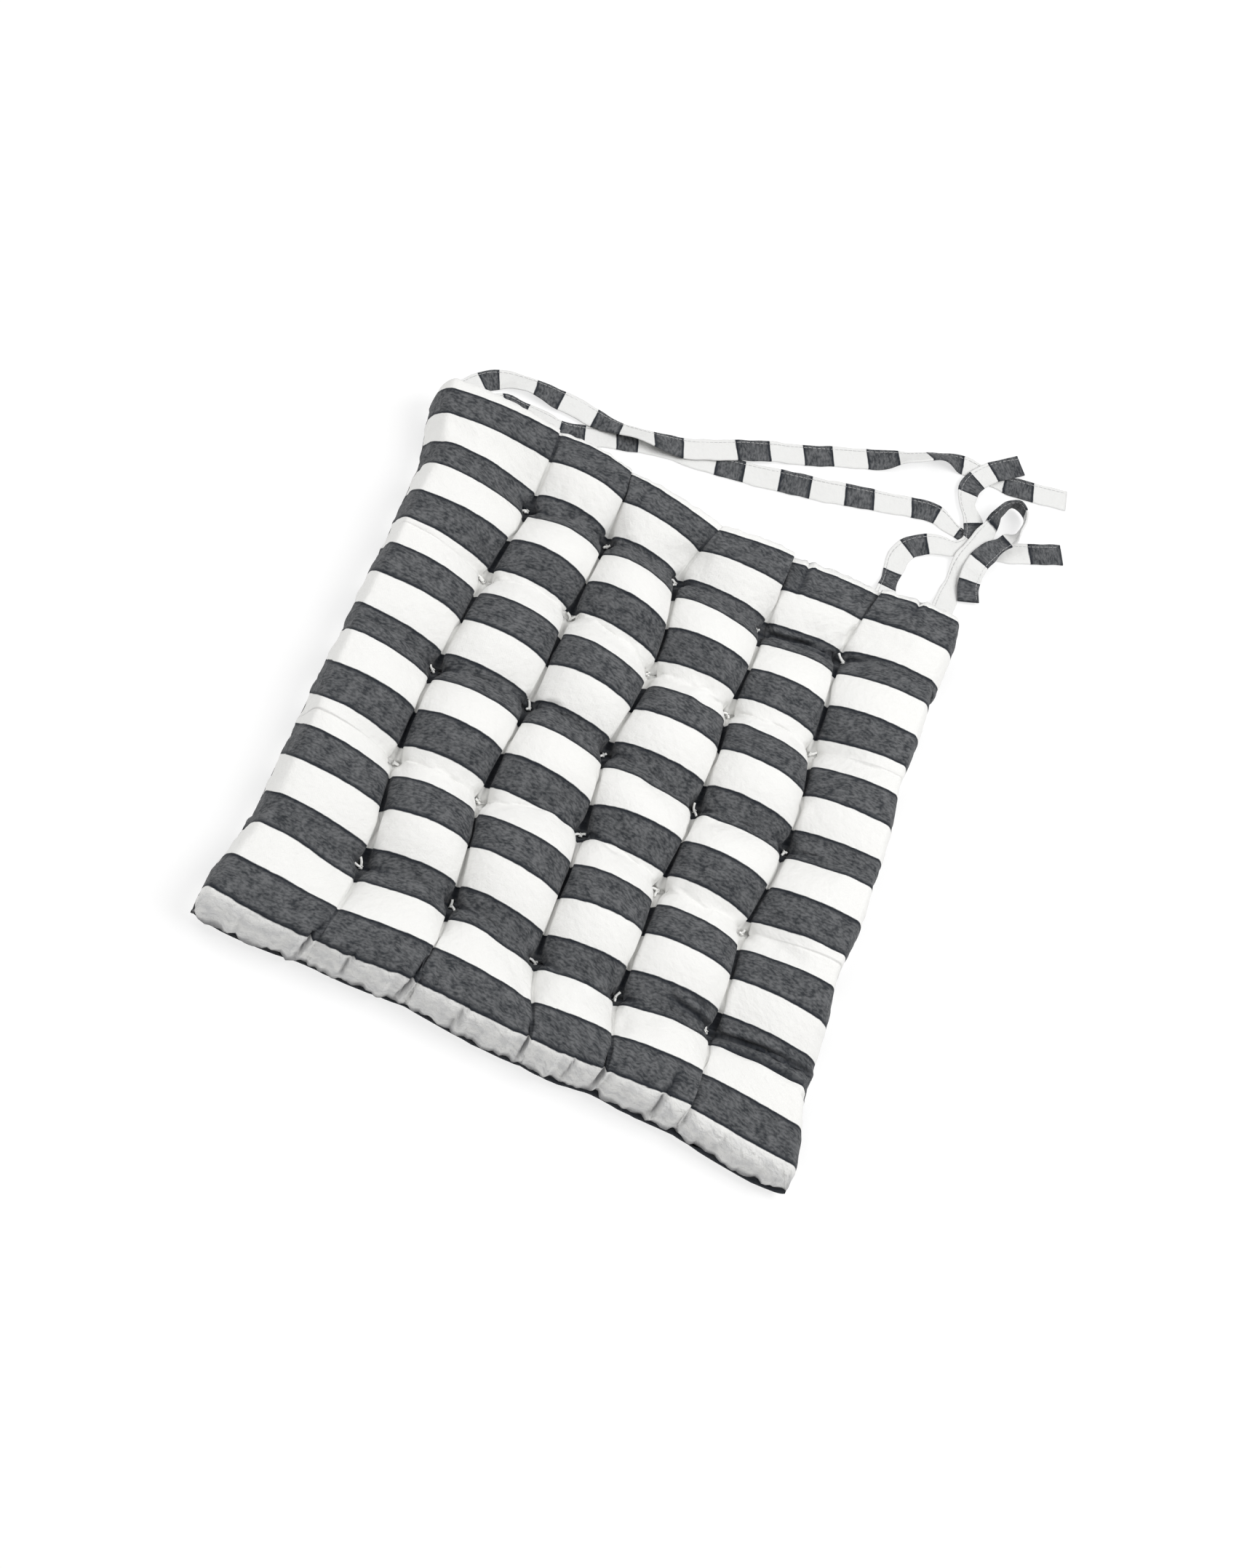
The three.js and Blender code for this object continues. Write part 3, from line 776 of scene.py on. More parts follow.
# %% Tubes of thread
THREAD_RADIUS = 0.85
THREAD_SIDES = 6
LEAST_SIDE = 0.1


def tube(line, radius, sides):
    """The points and faces of a round tube along a line, closed at both ends."""
    line = [Vector(point) for point in line]
    points, faces = [], []
    side = Vector((1, 0, 0))
    for number, middle in enumerate(line):
        ahead = line[min(number + 1, len(line) - 1)] - line[max(number - 1, 0)]
        ahead.normalize()
        side = side - ahead * side.dot(ahead)
        if side.length < LEAST_SIDE:
            side = ahead.orthogonal()
        side.normalize()
        up = ahead.cross(side)
        for step in range(sides):
            turn = 2 * math.pi * step / sides
            points.append(middle + radius * (math.cos(turn) * side + math.sin(turn) * up))
        if number:
            start = (number - 1) * sides
            for step in range(sides):
                next_step = (step + 1) % sides
                faces.append((start + step, start + next_step, start + sides + next_step,
                              start + sides + step))
    last = (len(line) - 1) * sides
    faces.append(tuple(reversed(range(sides))))
    faces.append(tuple(range(last, last + sides)))
    return [point[:] for point in points], faces


def joined(parts):
    """Several lists of points and faces as one."""
    points, faces = [], []
    for part_points, part_faces in parts:
        start = len(points)
        points.extend(part_points)
        faces.extend(tuple(index + start for index in face) for face in part_faces)
    return points, faces


print("sides of a thread:", THREAD_SIDES)

# %% Knot the tufts
random.seed(SEED)
TAIL = {"apart": (0.9, 2.8), "length": (1.6, 5.0), "rise": (0.3, 1.0), "bend": (-1.1, 1.1)}
TAIL_STEPS = 5
KNOT = {"height": 3.6, "radius": 0.9, "thickness": 1.5, "turns": (0, 2.1, 4.2, 6.3)}
LOWER_STITCH = {"length": 5.0, "slant": 0.4}


def tuft_thread(bottom, normal):
    """A knot with two tails that stand up in a V."""
    heading = random.uniform(0, 2 * math.pi)
    parts = []
    bottom = bottom + normal * KNOT["height"]
    knot = [bottom + Vector((math.cos(turn), math.sin(turn), 0)) * KNOT["radius"]
            for turn in KNOT["turns"]]
    parts.append(tube(knot, THREAD_RADIUS * KNOT["thickness"], THREAD_SIDES))
    for side in (0, 1):
        turn = heading + side * random.uniform(*TAIL["apart"])
        length = random.uniform(*TAIL["length"])
        rise = random.uniform(*TAIL["rise"])
        out = Vector((math.cos(turn), math.sin(turn), 0))
        bend = out.cross(Vector((0, 0, 1))) * random.uniform(*TAIL["bend"])
        line = []
        for step in range(TAIL_STEPS + 1):
            share = step / TAIL_STEPS
            run = out * share + bend * share**2 + Vector((0, 0, rise * share))
            line.append(bottom + run * length)
        parts.append(tube(line, THREAD_RADIUS, THREAD_SIDES))
    return joined(parts)


def at_knots(cloth):
    """The points of a fine grid at the tufts."""
    size = math.isqrt(len(cloth))
    inner = slice(FINE_STEPS, size - FINE_STEPS, FINE_STEPS)
    return cloth.reshape(size, size, 3)[inner, inner].reshape(-1, 3)


thread_parts = []
for top, under in zip(at_knots(upper), at_knots(lower)):
    thread_parts.append(tuft_thread(Vector(top), Vector((0, 0, 1))))
    turn = random.uniform(-LOWER_STITCH["slant"], LOWER_STITCH["slant"])
    run = Vector((math.cos(turn), math.sin(turn), 0)) * LOWER_STITCH["length"] / 2
    middle = Vector(under) + Vector((0, 0, -THREAD_RADIUS))
    thread_parts.append(tube([middle - run, middle - run * 0.3, middle + run * 0.4, middle + run],
                             THREAD_RADIUS, THREAD_SIDES))
threads = add_mesh("tuft_threads", *joined(thread_parts))
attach(threads, BODY)
print("tufts:", len(thread_parts) // 2)

# %% [markdown]
# ## Tie straps
# A tie is cut across the stripes, folded to four layers and sewn along one edge, so it is a band
# as stiff as a bag's handle that keeps the bends it was given. It isn't draped by a simulation:
# each strap follows the route of its packed solid, and only its section is finer, with rounded
# edges, a row of stitches sunk in near one edge and a little unevenness along its length. A route
# gives a place in plan, a height and, where the strap leans, a tilt in degrees. The heights are
# counted in layers, since one strap lies on another wherever two cross. The sewn end starts square
# to the seam, just clear of the cloth that stands out furthest beside it.

# %% The routes of the straps, in millimetres
TIE_WIDTH = 16
TIE_THICKNESS = 1.6
TIE_GAP = 0.7
LAYER = [TIE_THICKNESS / 2 + number * (TIE_THICKNESS + TIE_GAP) for number in range(4)]
TIE_ROOTS = {
    "tie_left_upper": 0.17,
    "tie_left_lower": 0.45,
    "tie_right_inner": 5.12,
    "tie_right_outer": 5.78,
}
ROOT_GAP = 0.35
ROOT_DROP = {"run": 7, "z": 6}
TIE_ROUTES = {
    "tie_left_upper": [
        (-174, 229, LAYER[0]), (-150, 237, 4.4, -24), (-120, 238, LAYER[1]),
        (-94, 237, LAYER[1]), (-66, 239, 7.4, -32), (-30, 249, LAYER[1]), (4, 267, 3.8),
        (22, 276, LAYER[1]), (40, 285, LAYER[0]), (92, 310, LAYER[0]), (114, 321, 6.6, -40),
        (132, 332, 6.6, -44),
        (152, 338, LAYER[0]), (178, 338, LAYER[0]), (230, 350, LAYER[0]),
    ],
    "tie_left_lower": [
        (-159, 217, 2.4), (-147, 220, LAYER[0]), (-118, 219, LAYER[0]), (-99, 223, LAYER[0]),
        (-80, 231, LAYER[0]), (-50, 241, LAYER[0]), (-14, 247, LAYER[0]), (58, 264, 3.4, 20),
        (124, 286, LAYER[0]), (145, 291, LAYER[0]), (163, 286, LAYER[0]), (182, 283, LAYER[0]),
        (204, 289, LAYER[0]), (240, 307, LAYER[0]),
    ],
    "tie_right_inner": [
        (132, 230, LAYER[0]), (132, 246, LAYER[0]), (139, 259, LAYER[0]), (152, 267, LAYER[1]),
        (167, 272, LAYER[1]), (176, 282, LAYER[1]), (173, 296, LAYER[1]), (163, 309, LAYER[1]),
        (162, 325, LAYER[1]), (173, 343, LAYER[1]), (190, 358, LAYER[1]),
    ],
    "tie_right_outer": [
        (174, 236, LAYER[0]), (174, 250, LAYER[0]), (176, 265, 5.6), (181, 282, LAYER[2]),
        (184, 298, 7, 25), (187, 312, 10, 72), (195, 322, 11, 100), (204, 317, 11, 106),
        (204, 303, 10.5, 90), (197, 290, LAYER[3]), (189, 277, LAYER[3]), (184, 263, LAYER[3]),
        (184, 250, 4.4), (189, 237, LAYER[1]),
    ],
}


print("straps:", len(TIE_ROUTES))


# %% Where a strap starts, and how it bends
def root_places(across):
    """The first two places of a strap: square to the seam and clear of it, and past the drop."""
    puff = [math.floor(across), math.ceil(across)]
    half = TIE_WIDTH / 2 / np.diff(outline_place(np.array(puff), np.zeros(2))[0])[0]
    left, right = np.transpose(outline_place(across + half * np.array([-1, 1]), np.zeros(2)))
    run = (right - left) / np.linalg.norm(right - left)
    out = np.array([-run[1], run[0]])
    cloth = np.concatenate([upper, lower])
    from_seam = cloth[:, :2] - (left + right) / 2
    beside = np.abs(from_seam @ run) < TIE_WIDTH / 2 + ROOT_GAP
    level = np.abs(cloth[:, 2] - SEAM_HEIGHT) < TIE_THICKNESS / 2 + ROOT_GAP
    reach = (from_seam @ out)[beside & level].max()
    start = (left + right) / 2 + out * (reach + ROOT_GAP)
    drop = start + out * ROOT_DROP["run"]
    return [(*start, SEAM_HEIGHT), (*drop, ROOT_DROP["z"])]


def curve_between(points, number, share):
    """A place on the centripetal curve from one point to the next, in plan."""
    before, start, end, after = points[number : number + 4]
    gaps = [math.dist(a, b) ** 0.5 for a, b in ((before, start), (start, end), (end, after))]
    first = (start - before) / gaps[0] - (end - before) / (gaps[0] + gaps[1])
    first = (first + (end - start) / gaps[1]) * gaps[1]
    second = (end - start) / gaps[1] - (after - start) / (gaps[1] + gaps[2])
    second = (second + (after - end) / gaps[2]) * gaps[1]
    bend = -3 * start + 3 * end - 2 * first - second
    twist = 2 * start - 2 * end + first + second
    return start + share * (first + share * (bend + share * twist))


sewn_ends = [root_places(root)[0] for root in TIE_ROOTS.values()]
print("sewn ends in mm:", np.round(sewn_ends, 1).tolist())

# %% Follow a route
CURVE_SAMPLES = 40
STRAP_STEP = 2.5


def strap_path(name):
    """Even places along a strap's middle, with its height and tilt at each."""
    route = [*root_places(TIE_ROOTS[name]), *TIE_ROUTES[name]]
    bends = np.array([point[:2] for point in route], float)
    ends = 2 * bends[0] - bends[1], 2 * bends[-1] - bends[-2]
    bends = np.array([ends[0], *bends, ends[1]])
    cells = len(route) - 1
    samples = np.linspace(0, cells, cells * CURVE_SAMPLES + 1)
    plan = []
    for place in samples:
        number = min(int(place), cells - 1)
        plan.append(curve_between(bends, number, place - number))
    plan = np.array(plan)
    run = np.append(0, np.cumsum(np.linalg.norm(np.diff(plan, axis=0), axis=1)))
    even = np.linspace(0, run[-1], round(run[-1] / STRAP_STEP) + 1)
    place = np.interp(even, run, samples)
    number = np.minimum(place.astype(int), cells - 1)
    share = smooth_step(0, 1, place - number)
    heights = np.array([point[2] for point in route])
    tilts = np.array([point[3] if len(point) > 3 else 0 for point in route])
    x, y = (np.interp(place, samples, plan[:, axis]) for axis in (0, 1))
    z = heights[number] + (heights[number + 1] - heights[number]) * share
    tilt = tilts[number] + (tilts[number + 1] - tilts[number]) * share
    return np.stack([x, y, z], 1), np.radians(tilt), even


def strap_sides(middle, tilt):
    """The directions across a strap and out of its face, at each place."""
    ahead = np.gradient(middle, axis=0)
    ahead /= np.linalg.norm(ahead, axis=1, keepdims=True)
    left = np.stack([-ahead[:, 1], ahead[:, 0], 0 * tilt], 1)
    left /= np.linalg.norm(left, axis=1, keepdims=True)
    up = np.cross(ahead, left)
    turn = tilt[:, None]
    side = left * np.cos(turn) + up * np.sin(turn)
    return side, np.cross(ahead, side)


for name in TIE_ROUTES:
    print(name, "is", strap_path(name)[2][-1].round(1), "mm long")

# %% [markdown]
# The stripes of a strap run across it, but not evenly: it was cut on the slant in places and has
# been pulled, so each strap has its own row of places where a stripe begins, in millimetres along
# it. A pinch is a place where a knot or a crossing draws the strap together: where along it, by what
# share of its width, and over what length.

# %% Where the straps' stripes begin
TIE_STRIPES = {
    "tie_left_upper": [
        27, 40, 65, 85, 110, 130, 153, 175, 213, 238, 263, 285, 310, 333, 355, 383, 415, 438,
    ],
    "tie_left_lower": [
        15, 32, 57, 75, 97, 112, 169, 189, 214, 237, 262, 284, 312, 332, 350, 368, 406,
    ],
    "tie_right_inner": [14, 30, 52, 68, 103, 118, 142, 156, 170],
    "tie_right_outer": [92, 129, 155, 185, 200],
}
STRAP_PINCHES = {
    "tie_left_upper": [(14, 0.3, 12), (128, 0.3, 14), (366, 0.2, 12), (408, 0.35, 10)],
    "tie_left_lower": [(30, 0.35, 14), (60, 0.2, 10), (352, 0.4, 12)],
    "tie_right_inner": [(22, 0.25, 10), (92, 0.3, 10), (130, 0.3, 9)],
    "tie_right_outer": [(40, 0.3, 9), (92, 0.25, 8), (160, 0.35, 9)],
}
print("stripes of the straps:", [len(places) + 1 for places in TIE_STRIPES.values()])

# %% The section of a strap
STITCH_PLACE = 5.6
STITCH_SINK = {"depth": 0.22, "width": 0.5}
FACE_PLACES = [-1, -0.8, -0.5, -0.2, 0.1, 0.4, 0.6, 0.72, 0.76, 0.8, 0.84, 0.92, 1]
EDGE_TURNS = [0.8, 1.57, 2.34]


def strap_section():
    """Places round a strap's section, with the stitches sunk in: across it and out of its face."""
    half, thick = TIE_WIDTH / 2, TIE_THICKNESS / 2
    flat = half - thick
    across = np.array(FACE_PLACES) * flat
    sunk = np.exp(-(((across - STITCH_PLACE) / STITCH_SINK["width"]) ** 2))
    sink = STITCH_SINK["depth"] * sunk
    faces = [(place, thick - depth) for place, depth in zip(across, sink)]
    edge = [(flat + thick * math.sin(turn), thick * math.cos(turn)) for turn in EDGE_TURNS]
    back = [(place, -height) for place, height in reversed(faces)]
    other_edge = [(-place, -height) for place, height in edge]
    return np.array(faces + edge + back + other_edge)


def strap_width(name, run):
    """The share of its width that a strap has at each place: it is drawn together in a knot."""
    width = np.ones_like(run)
    for place, share, length in STRAP_PINCHES[name]:
        width -= share * np.exp(-(((run - place) / length) ** 2))
    return width


print("points round a strap:", len(strap_section()))

# %% Make the straps
STRAP_BOW = {"share": 0.25, "lengths": [31, 53, 90], "heights": [0.4, 0.5, 0.6]}
STRAP_LEAN = {"lengths": [13, 24, 47], "heights": [0.12, 0.2, 0.25]}
LOWEST = 0.02


def strap_mesh(name):
    """A strap's points and faces, and each point's place across, its stripe and its run."""
    middle, tilt, run = strap_path(name)
    side, out = strap_sides(middle, tilt)
    section = strap_section()
    bow = STRAP_BOW["share"] * waves(run, STRAP_BOW["lengths"], STRAP_BOW["heights"])
    lean = waves(run, **STRAP_LEAN)
    width = strap_width(name, run)
    across = section[:, 0][None, :] * width[:, None] + lean[:, None]
    arch = bow[:, None] * (1 - (section[:, 0] / TIE_WIDTH * 2) ** 2)[None, :]
    height = section[:, 1][None, :] + arch
    points = middle[:, None] + across[..., None] * side[:, None] + height[..., None] * out[:, None]
    points[..., 2] = np.maximum(points[..., 2], LOWEST)
    rings, sides = points.shape[:2]
    faces = []
    for ring in range(rings - 1):
        for step in range(sides):
            next_step = (step + 1) % sides
            low, high = ring * sides, (ring + 1) * sides
            faces.append((low + step, high + step, high + next_step, low + next_step))
    faces.append(tuple(range(sides)))
    faces.append(tuple(reversed(range((rings - 1) * sides, rings * sides))))
    starts = [0, *TIE_STRIPES[name], run[-1] + 1]
    stripes = np.maximum(np.interp(run, starts, range(len(starts))), LEAST_STRIPE)
    ways = (np.tile(section[:, 0] / STRIPE, rings), np.repeat(stripes, sides),
            np.repeat(run / STRIPE, sides))
    return points.reshape(-1, 3), faces, np.stack(ways, 1)


straps = {}
for name in TIE_ROUTES:
    points, faces, places = strap_mesh(name)
    strap = add_mesh(name.replace("tie", "strap"), points, faces)
    map_cloth(strap, "cloth", places[corner_points(strap)][:, :2])
    map_cloth(strap, "weave", places[corner_points(strap)][:, ::2])
    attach(strap, BODY)
    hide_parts(name)
    straps[name] = strap
print("strap faces:", sum(len(strap.data.polygons) for strap in straps.values()))

# %% [markdown]
# The folded edge of a strap is closed by one row of stitches in grey thread. Each is a short tube
# that arches a little out of the groove it has drawn in the cloth, on both faces. A dashed line in
# the material would do from far off, but close by it has no thickness and no shadow.

# %% Stitches along the straps
STITCH = {"length": 2.6, "gap": 0.7, "radius": 0.16, "sides": 5, "arch": 0.18, "end_gap": 3.0}


def stitch_row(name):
    """Short threads in a row along both faces of a strap."""
    middle, tilt, run = strap_path(name)
    side, out = strap_sides(middle, tilt)
    parts = []
    place = STITCH["end_gap"]
    while place < run[-1] - STITCH["end_gap"]:
        ends = place, place + STITCH["length"]
        for face in (1, -1):
            line = []
            for share in (0, 0.3, 0.7, 1):
                at = ends[0] + share * (ends[1] - ends[0])
                centre, way, up = (
                    np.array([np.interp(at, run, values[:, axis]) for axis in range(3)])
                    for values in (middle, side, out)
                )
                height = TIE_THICKNESS / 2 - STITCH_SINK["depth"]
                height += STITCH["arch"] if 0 < share < 1 else 0
                beside = STITCH_PLACE * strap_width(name, np.array([at]))[0]
                line.append(centre + way * beside + up * face * height)
            parts.append(tube(line, STITCH["radius"], STITCH["sides"]))
        place = ends[1] + STITCH["gap"]
    return joined(parts)


stitches = {}
for name, strap in straps.items():
    stitches[name] = add_mesh(strap.name + "_stitches", *stitch_row(name))
    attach(stitches[name], BODY)
    length = strap_path(name)[2][-1]
print("stitch faces:", sum(len(piece.data.polygons) for piece in stitches.values()))

# %% [markdown]
# ## Cloth
# The cloth is a plain cotton weave: undyed white yarn for one stripe and charcoal yarn, spun from
# lighter and darker fibres, for the next. So the dark stripe is mottled with short light flecks
# that run along its yarns, and where it meets the white a few dark yarns lie close together. Both
# have the same fine weave, which is a bump here, since a thread is under a millimetre wide. The
# marks on the pad's points paint shade into the colour: near-black in the closed creases of the
# dark stripes, and grey on the white of the shaded walls and their folds. The straps' white is
# set a little darker than the pad's, also as painted shade. An image of cloth would be quicker to
# use, but nodes that read the two maps stay sharp at any distance.

# %% Arithmetic on shader sockets
class Value:
    """What a shader socket gives. Arithmetic on it makes Math nodes."""

    def __init__(self, net, socket):
        self.net = net
        self.socket = socket

    def maths(self, operation, *others):
        inputs = dict(enumerate([self, *others]))
        return self.net.node("ShaderNodeMath", {"operation": operation}, inputs)

    def __add__(self, other):
        return self.maths("ADD", other)

    def __sub__(self, other):
        return self.maths("SUBTRACT", other)

    def __mul__(self, other):
        return self.maths("MULTIPLY", other)

    def __rsub__(self, other):
        return self * -1 + other

    __radd__ = __add__
    __rmul__ = __mul__

    def size(self):
        """Its value without its sign."""
        return self.maths("ABSOLUTE")

    def part(self):
        """What it has beyond a whole number."""
        return self.maths("FRACT")

    def eased(self, low, high):
        """0 at low, 1 at high and smooth between them."""
        settings = {"interpolation_type": "SMOOTHSTEP"}
        limits = {"Value": self, "From Min": low, "From Max": high}
        return self.net.node("ShaderNodeMapRange", settings, limits)


print("operators on sockets: +, - and *, from either side")


# %% The nodes of one material
class Net:
    """The nodes of one material."""

    def __init__(self, name):
        self.material = bpy.data.materials.new(name)
        self.material.use_nodes = True
        self.tree = self.material.node_tree
        self.tree.nodes.clear()

    def node(self, kind, settings=None, inputs=None, output=0):
        """Makes a node: its settings first, then the values or links of its sockets."""
        node = self.tree.nodes.new(kind)
        for name, value in (settings or {}).items():
            setattr(node, name, value)
        for name, value in (inputs or {}).items():
            if isinstance(value, Value):
                self.tree.links.new(value.socket, node.inputs[name])
            else:
                node.inputs[name].default_value = value
        return None if output is None else Value(self, node.outputs[output])

    def colour(self, share, low, high):
        """From the colour low at share 0 to high at share 1."""
        inputs = {0: share}
        for socket, value in ((6, low), (7, high)):
            inputs[socket] = value if isinstance(value, Value) else (*value, 1)
        return self.node("ShaderNodeMix", {"data_type": "RGBA"}, inputs, 2)

    def noise(self, place, stretch, detail=2.0):
        """Noise whose grains have these sizes along the axes of place."""
        scale = tuple(1 / size for size in stretch)
        scaled = self.node("ShaderNodeVectorMath", {"operation": "MULTIPLY"}, {0: place, 1: scale})
        inputs = {"Vector": scaled, "Scale": 1, "Detail": detail}
        return self.node("ShaderNodeTexNoise", {}, inputs)


print("helpers for nodes:", ", ".join(name for name in vars(Net) if "__" not in name))

# %% The striped cloth
# The straps are the same cloth as the pad; their white is set darker than the pad's as painted
# shade.
WHITE = {"pad_cloth": (0.80, 0.797, 0.78), "tie_cloth": (0.72, 0.72, 0.71)}
CHARCOAL = {"dark": (0.030, 0.033, 0.037), "light": (0.130, 0.133, 0.138)}
# Grey of the painted shade on the white of the front and back walls.
WALL_SHADE_GREY = (0.50, 0.505, 0.52)
# Dark grey of the painted shade along folds in the walls' white.
FOLD_SHADE_GREY = (0.13, 0.13, 0.14)
# Near-black of the dark yarns at a stripe's edge, and of the painted shade in closed creases.
BORDER_YARN_AND_SHADE = (0.012, 0.015, 0.021)
WEAVE_PITCH = 0.85
EDGE_SOFTNESS = 0.008
STRIPE_WANDER = 0.05
BORDER_RUN = {"from": 0.4, "to": 3.4}
GRAIN = {
    "wander": (9, 4, 1),
    "fleck": (3.0, 1.5, 1),
    "mottle": (8, 8, 1),
    # The next grain is that of the painted shade's patches on the walls.
    "wall_shade_patches": (9, 7, 1),
    "crumple": (5.5, 5.5, 1),
    "fuzz": (1.2, 1.2, 1),
}
CHARCOAL_MIX = {"fleck": 0.8, "mottle": 1.7, "base": 0.12}
DARKENING = {"crease": 0.85, "wall": 0.6, "wall_crease": 0.8}
BUMP_HEIGHT = {"yarn": 0.02, "fuzz": 0.07, "crumple": 0.45, "wall_crumple": 1.4}


def striped_cloth(name):
    """The material of the striped cloth, placed by the mesh's own map of the flat cloth."""
    net = Net(name)
    flat = net.node("ShaderNodeUVMap", {"uv_map": "cloth"})
    weave = net.node("ShaderNodeUVMap", {"uv_map": "weave"})
    place = net.node("ShaderNodeVectorMath", {"operation": "SCALE"}, {0: weave, "Scale": STRIPE})
    stripes = net.node("ShaderNodeSeparateXYZ", {}, {0: flat}, 1)
    wander = (net.noise(place, GRAIN["wander"]) - 0.5) * STRIPE_WANDER
    from_white = ((stripes + wander) * 0.5 + 0.25).part() - 0.5
    depth = from_white.size() - 0.25
    dark = depth.eased(-EDGE_SOFTNESS, EDGE_SOFTNESS)
    inside = depth.eased(*(run / STRIPE / 2 for run in BORDER_RUN.values()))
    fleck = net.noise(place, GRAIN["fleck"], 3.0).eased(0.3, 0.7)
    mottle = net.noise(place, GRAIN["mottle"], 3.0)
    share = fleck * CHARCOAL_MIX["fleck"] + (mottle - 0.5) * CHARCOAL_MIX["mottle"]
    share = share + CHARCOAL_MIX["base"]
    charcoal = net.colour(share, CHARCOAL["dark"], CHARCOAL["light"])
    charcoal = net.colour(inside, BORDER_YARN_AND_SHADE, charcoal)
    # Painted shade: the dark stripes go near-black where the crease mark is high, in closed creases
    # and under the front seam.
    crease = net.node("ShaderNodeAttribute", {"attribute_name": "crease"}, {}, 2)
    charcoal = net.colour(crease * DARKENING["crease"], charcoal, BORDER_YARN_AND_SHADE)
    # Painted shade: the white of the front and back walls is mixed towards grey in mottled patches,
    # where the walls lie in their own shade.
    wall = net.node("ShaderNodeAttribute", {"attribute_name": "wall"}, {}, 2)
    wall_shade_patches = net.noise(place, GRAIN["wall_shade_patches"], 4.0).eased(0.3, 0.75)
    white = net.colour(wall * (wall_shade_patches * DARKENING["wall"]), WHITE[name], WALL_SHADE_GREY)
    # Painted shade: on the walls the white goes dark grey along the marked folds and the seam line.
    white = net.colour(wall * crease * DARKENING["wall_crease"], white, FOLD_SHADE_GREY)
    colour = net.colour(dark, white, charcoal)
    threads = net.node("ShaderNodeVectorMath", {"operation": "SCALE"},
                       {0: place, "Scale": 2 * math.pi / WEAVE_PITCH})
    warp = net.node("ShaderNodeSeparateXYZ", {}, {0: threads}, 0).maths("SINE")
    weft = net.node("ShaderNodeSeparateXYZ", {}, {0: threads}, 1).maths("SINE")
    height = (warp * weft) * BUMP_HEIGHT["yarn"]
    height = height + net.noise(place, GRAIN["fuzz"]) * BUMP_HEIGHT["fuzz"]
    crumple = wall * BUMP_HEIGHT["wall_crumple"] + BUMP_HEIGHT["crumple"]
    height = height + net.noise(place, GRAIN["crumple"], 3.0) * crumple
    bump = net.node("ShaderNodeBump", {}, {"Height": height, "Strength": 1, "Distance": 0.002})
    net.node("ShaderNodeOutputMaterial", {}, {
        "Surface": net.node("ShaderNodeBsdfPrincipled", {}, {
            "Base Color": colour,
            "Roughness": 0.92,
            "Specular IOR Level": 0.2,
            "Sheen Weight": 0.08,
            "Sheen Roughness": 0.5,
            "Normal": bump,
        }),
    }, None)
    return net.material


def plain_thread(name, colour):
    """The material of sewing thread."""
    net = Net(name)
    net.node("ShaderNodeOutputMaterial", {}, {
        "Surface": net.node("ShaderNodeBsdfPrincipled", {}, {
            "Base Color": (*colour, 1),
            "Roughness": 0.7,
            "Specular IOR Level": 0.3,
        }),
    }, None)
    return net.material


pad.data.materials.append(striped_cloth("pad_cloth"))
tie_cloth = striped_cloth("tie_cloth")
for piece in straps.values():
    piece.data.materials.append(tie_cloth)
threads.data.materials.append(plain_thread("white_thread", (0.86, 0.86, 0.84)))
grey_thread = plain_thread("grey_thread", (0.50, 0.50, 0.50))
for piece in stitches.values():
    piece.data.materials.append(grey_thread)
print("materials:", len(bpy.data.materials))

# %% [markdown]
# ## Floor, light and camera
# The photograph has a plain white ground and one broad soft light from the right and a little
# behind, so each puff is bright up to the channel on its right and faintly grey beyond it. A big
# area lamp makes that light. A larger and weaker one on the left keeps the far flanks open, and a
# pale world fills the rest, as white walls do in a studio. The floor glows a little of its own, so
# that it stays white where the lamps don't reach.

# %% Floor and light
FLOOR_HALF = 6.0
FLOOR_GAP = 0.0004
floor_mesh = bpy.data.meshes.new("floor")
corners = [(-1, -1), (1, -1), (1, 1), (-1, 1)]
floor_mesh.from_pydata(
    [(FLOOR_HALF * x, FLOOR_HALF * y, -FLOOR_GAP) for x, y in corners], [], [(0, 1, 2, 3)]
)
floor = bpy.data.objects.new("floor", floor_mesh)
bpy.context.scene.collection.objects.link(floor)
net = Net("white_floor")
net.node("ShaderNodeOutputMaterial", {}, {
    "Surface": net.node("ShaderNodeBsdfPrincipled", {}, {
        "Base Color": (0.35, 0.35, 0.35, 1),
        "Roughness": 0.9,
        "Specular IOR Level": 0.0,
        "Emission Color": (1, 1, 1, 1),
        "Emission Strength": 0.64,
    }),
}, None)
floor.data.materials.append(net.material)

world = bpy.data.worlds.new("studio")
bpy.context.scene.world = world
world.use_nodes = True
world.node_tree.nodes["Background"].inputs["Color"].default_value = (1, 1, 1, 1)
world.node_tree.nodes["Background"].inputs["Strength"].default_value = 0.5

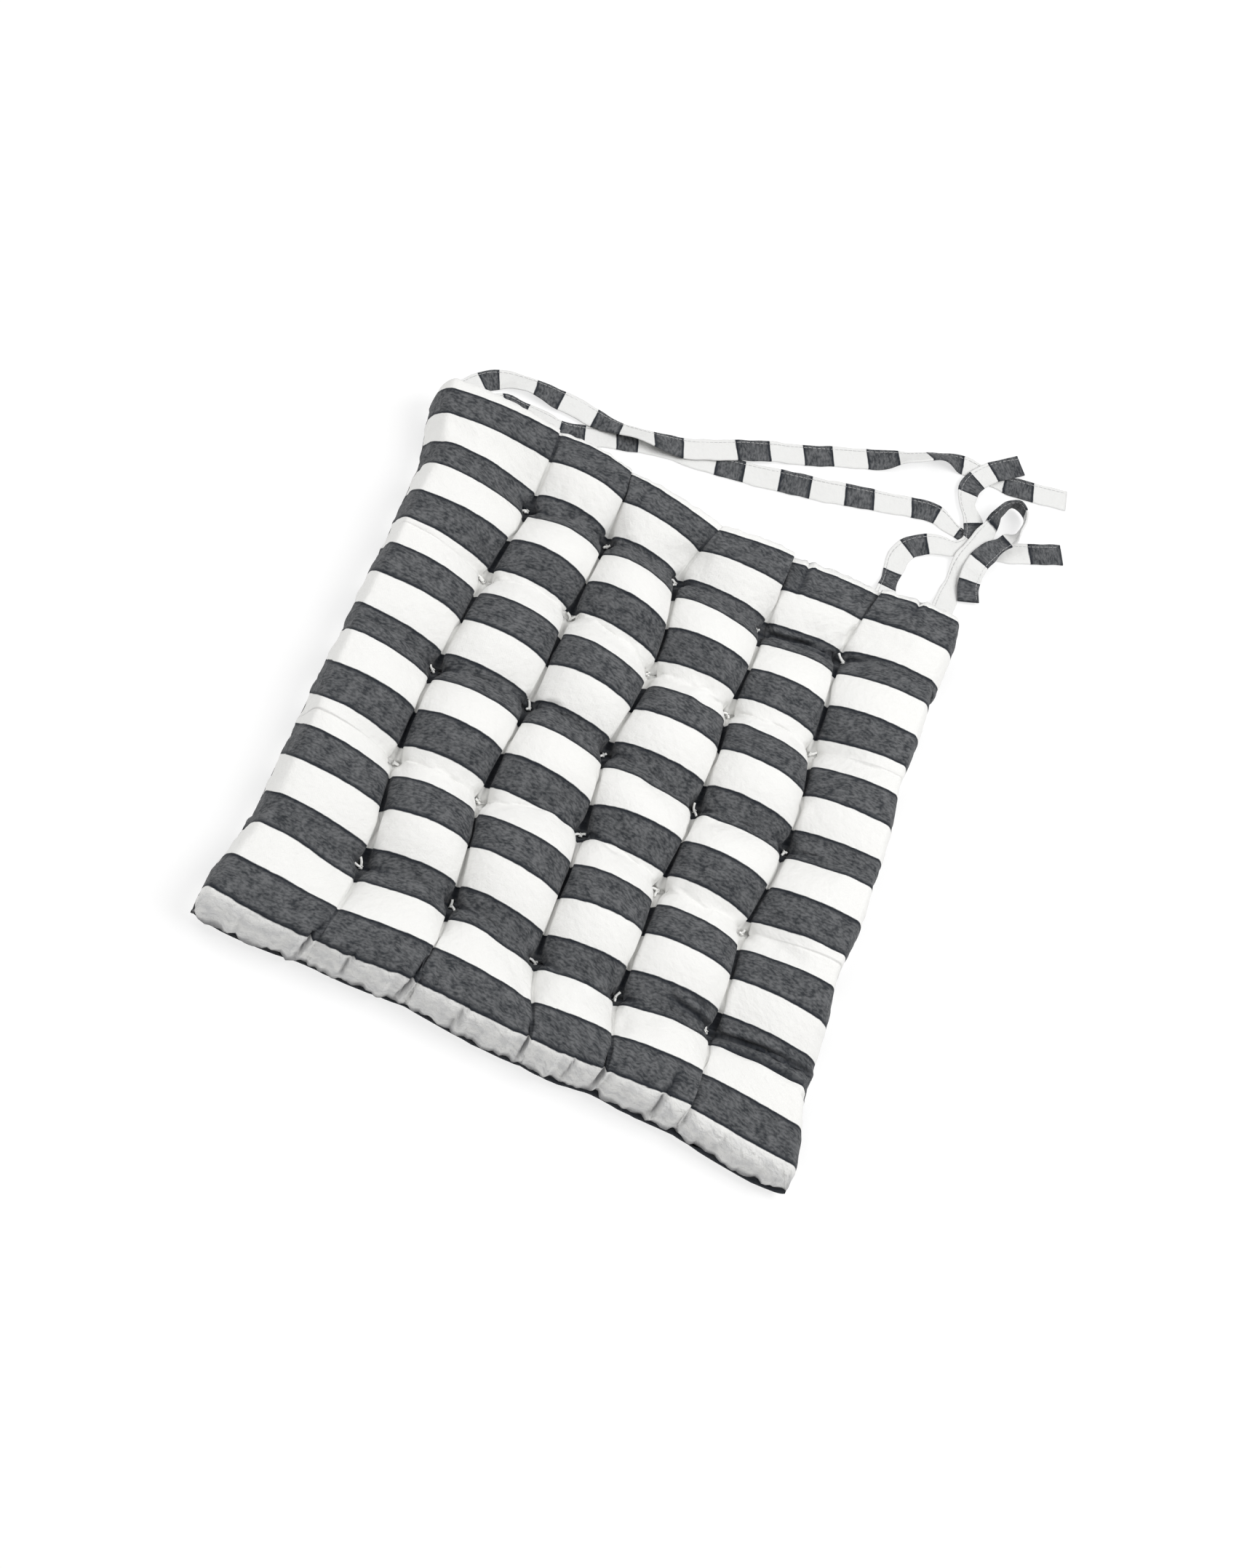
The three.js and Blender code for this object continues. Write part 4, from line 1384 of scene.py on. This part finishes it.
LAMPS = {
    "key": {"at": (1.05, 0.3, 1.9), "size": 1.2, "power": 29.5},
    "fill": {"at": (-1.2, 0.1, 1.6), "size": 1.6, "power": 14},
}
for name, lamp in LAMPS.items():
    data = bpy.data.lights.new(name, "AREA")
    data.energy = lamp["power"]
    data.size = lamp["size"]
    piece = bpy.data.objects.new(name, data)
    piece.location = lamp["at"]
    piece.rotation_euler = (-Vector(lamp["at"])).to_track_quat("-Z", "Y").to_euler()
    bpy.context.scene.collection.objects.link(piece)
print("lamps:", len(LAMPS))

# %% [markdown]
# A photograph of a flat square says where its camera stood: the far side looks shorter and the
# grid of tufts closes up towards it. The lens, the direction and the roll were changed until the
# model's outline and tufts lay on the photograph's. A camera that was placed by eye would need the
# shapes bent to suit it.

# %% The camera, at the photograph's angle to the cushion's face
CAMERA = {"azimuth": 11.54, "elevation": 64.94, "roll": 36, "distance": 1.5543, "lens": 55.10}
TARGET = Vector((0.0214, 0.0011, 0))


def camera_matrix(azimuth, elevation, roll, distance):
    """Where the camera stands, from its direction round the target and its roll in degrees."""
    azimuth, elevation, roll = map(math.radians, (azimuth, elevation, roll))
    away = Vector((
        -math.sin(azimuth) * math.cos(elevation),
        -math.cos(azimuth) * math.cos(elevation),
        math.sin(elevation),
    ))
    right = (-away).cross(Vector((0, 0, 1))).normalized()
    up = right.cross(-away)
    turned_right = right * math.cos(roll) + up * math.sin(roll)
    turned_up = up * math.cos(roll) - right * math.sin(roll)
    turn = Matrix((turned_right, turned_up, away)).transposed()
    return Matrix.LocRotScale(TARGET + away * distance, turn, None)


lens = bpy.data.cameras.new("camera")
lens.lens = CAMERA["lens"]
lens.sensor_width = 36
camera = bpy.data.objects.new("camera", lens)
camera.matrix_world = camera_matrix(
    *(CAMERA[key] for key in ("azimuth", "elevation", "roll", "distance"))
)
bpy.context.scene.collection.objects.link(camera)
bpy.context.scene.camera = camera
bpy.context.scene.view_settings.view_transform = "Standard"
print("camera at", [round(part, 3) for part in camera.location])

# %% [markdown]
# ## The size of what was made
# The dressed cushion fills the space of its packed solids, and cloth stands at most a few
# millimetres proud of them.
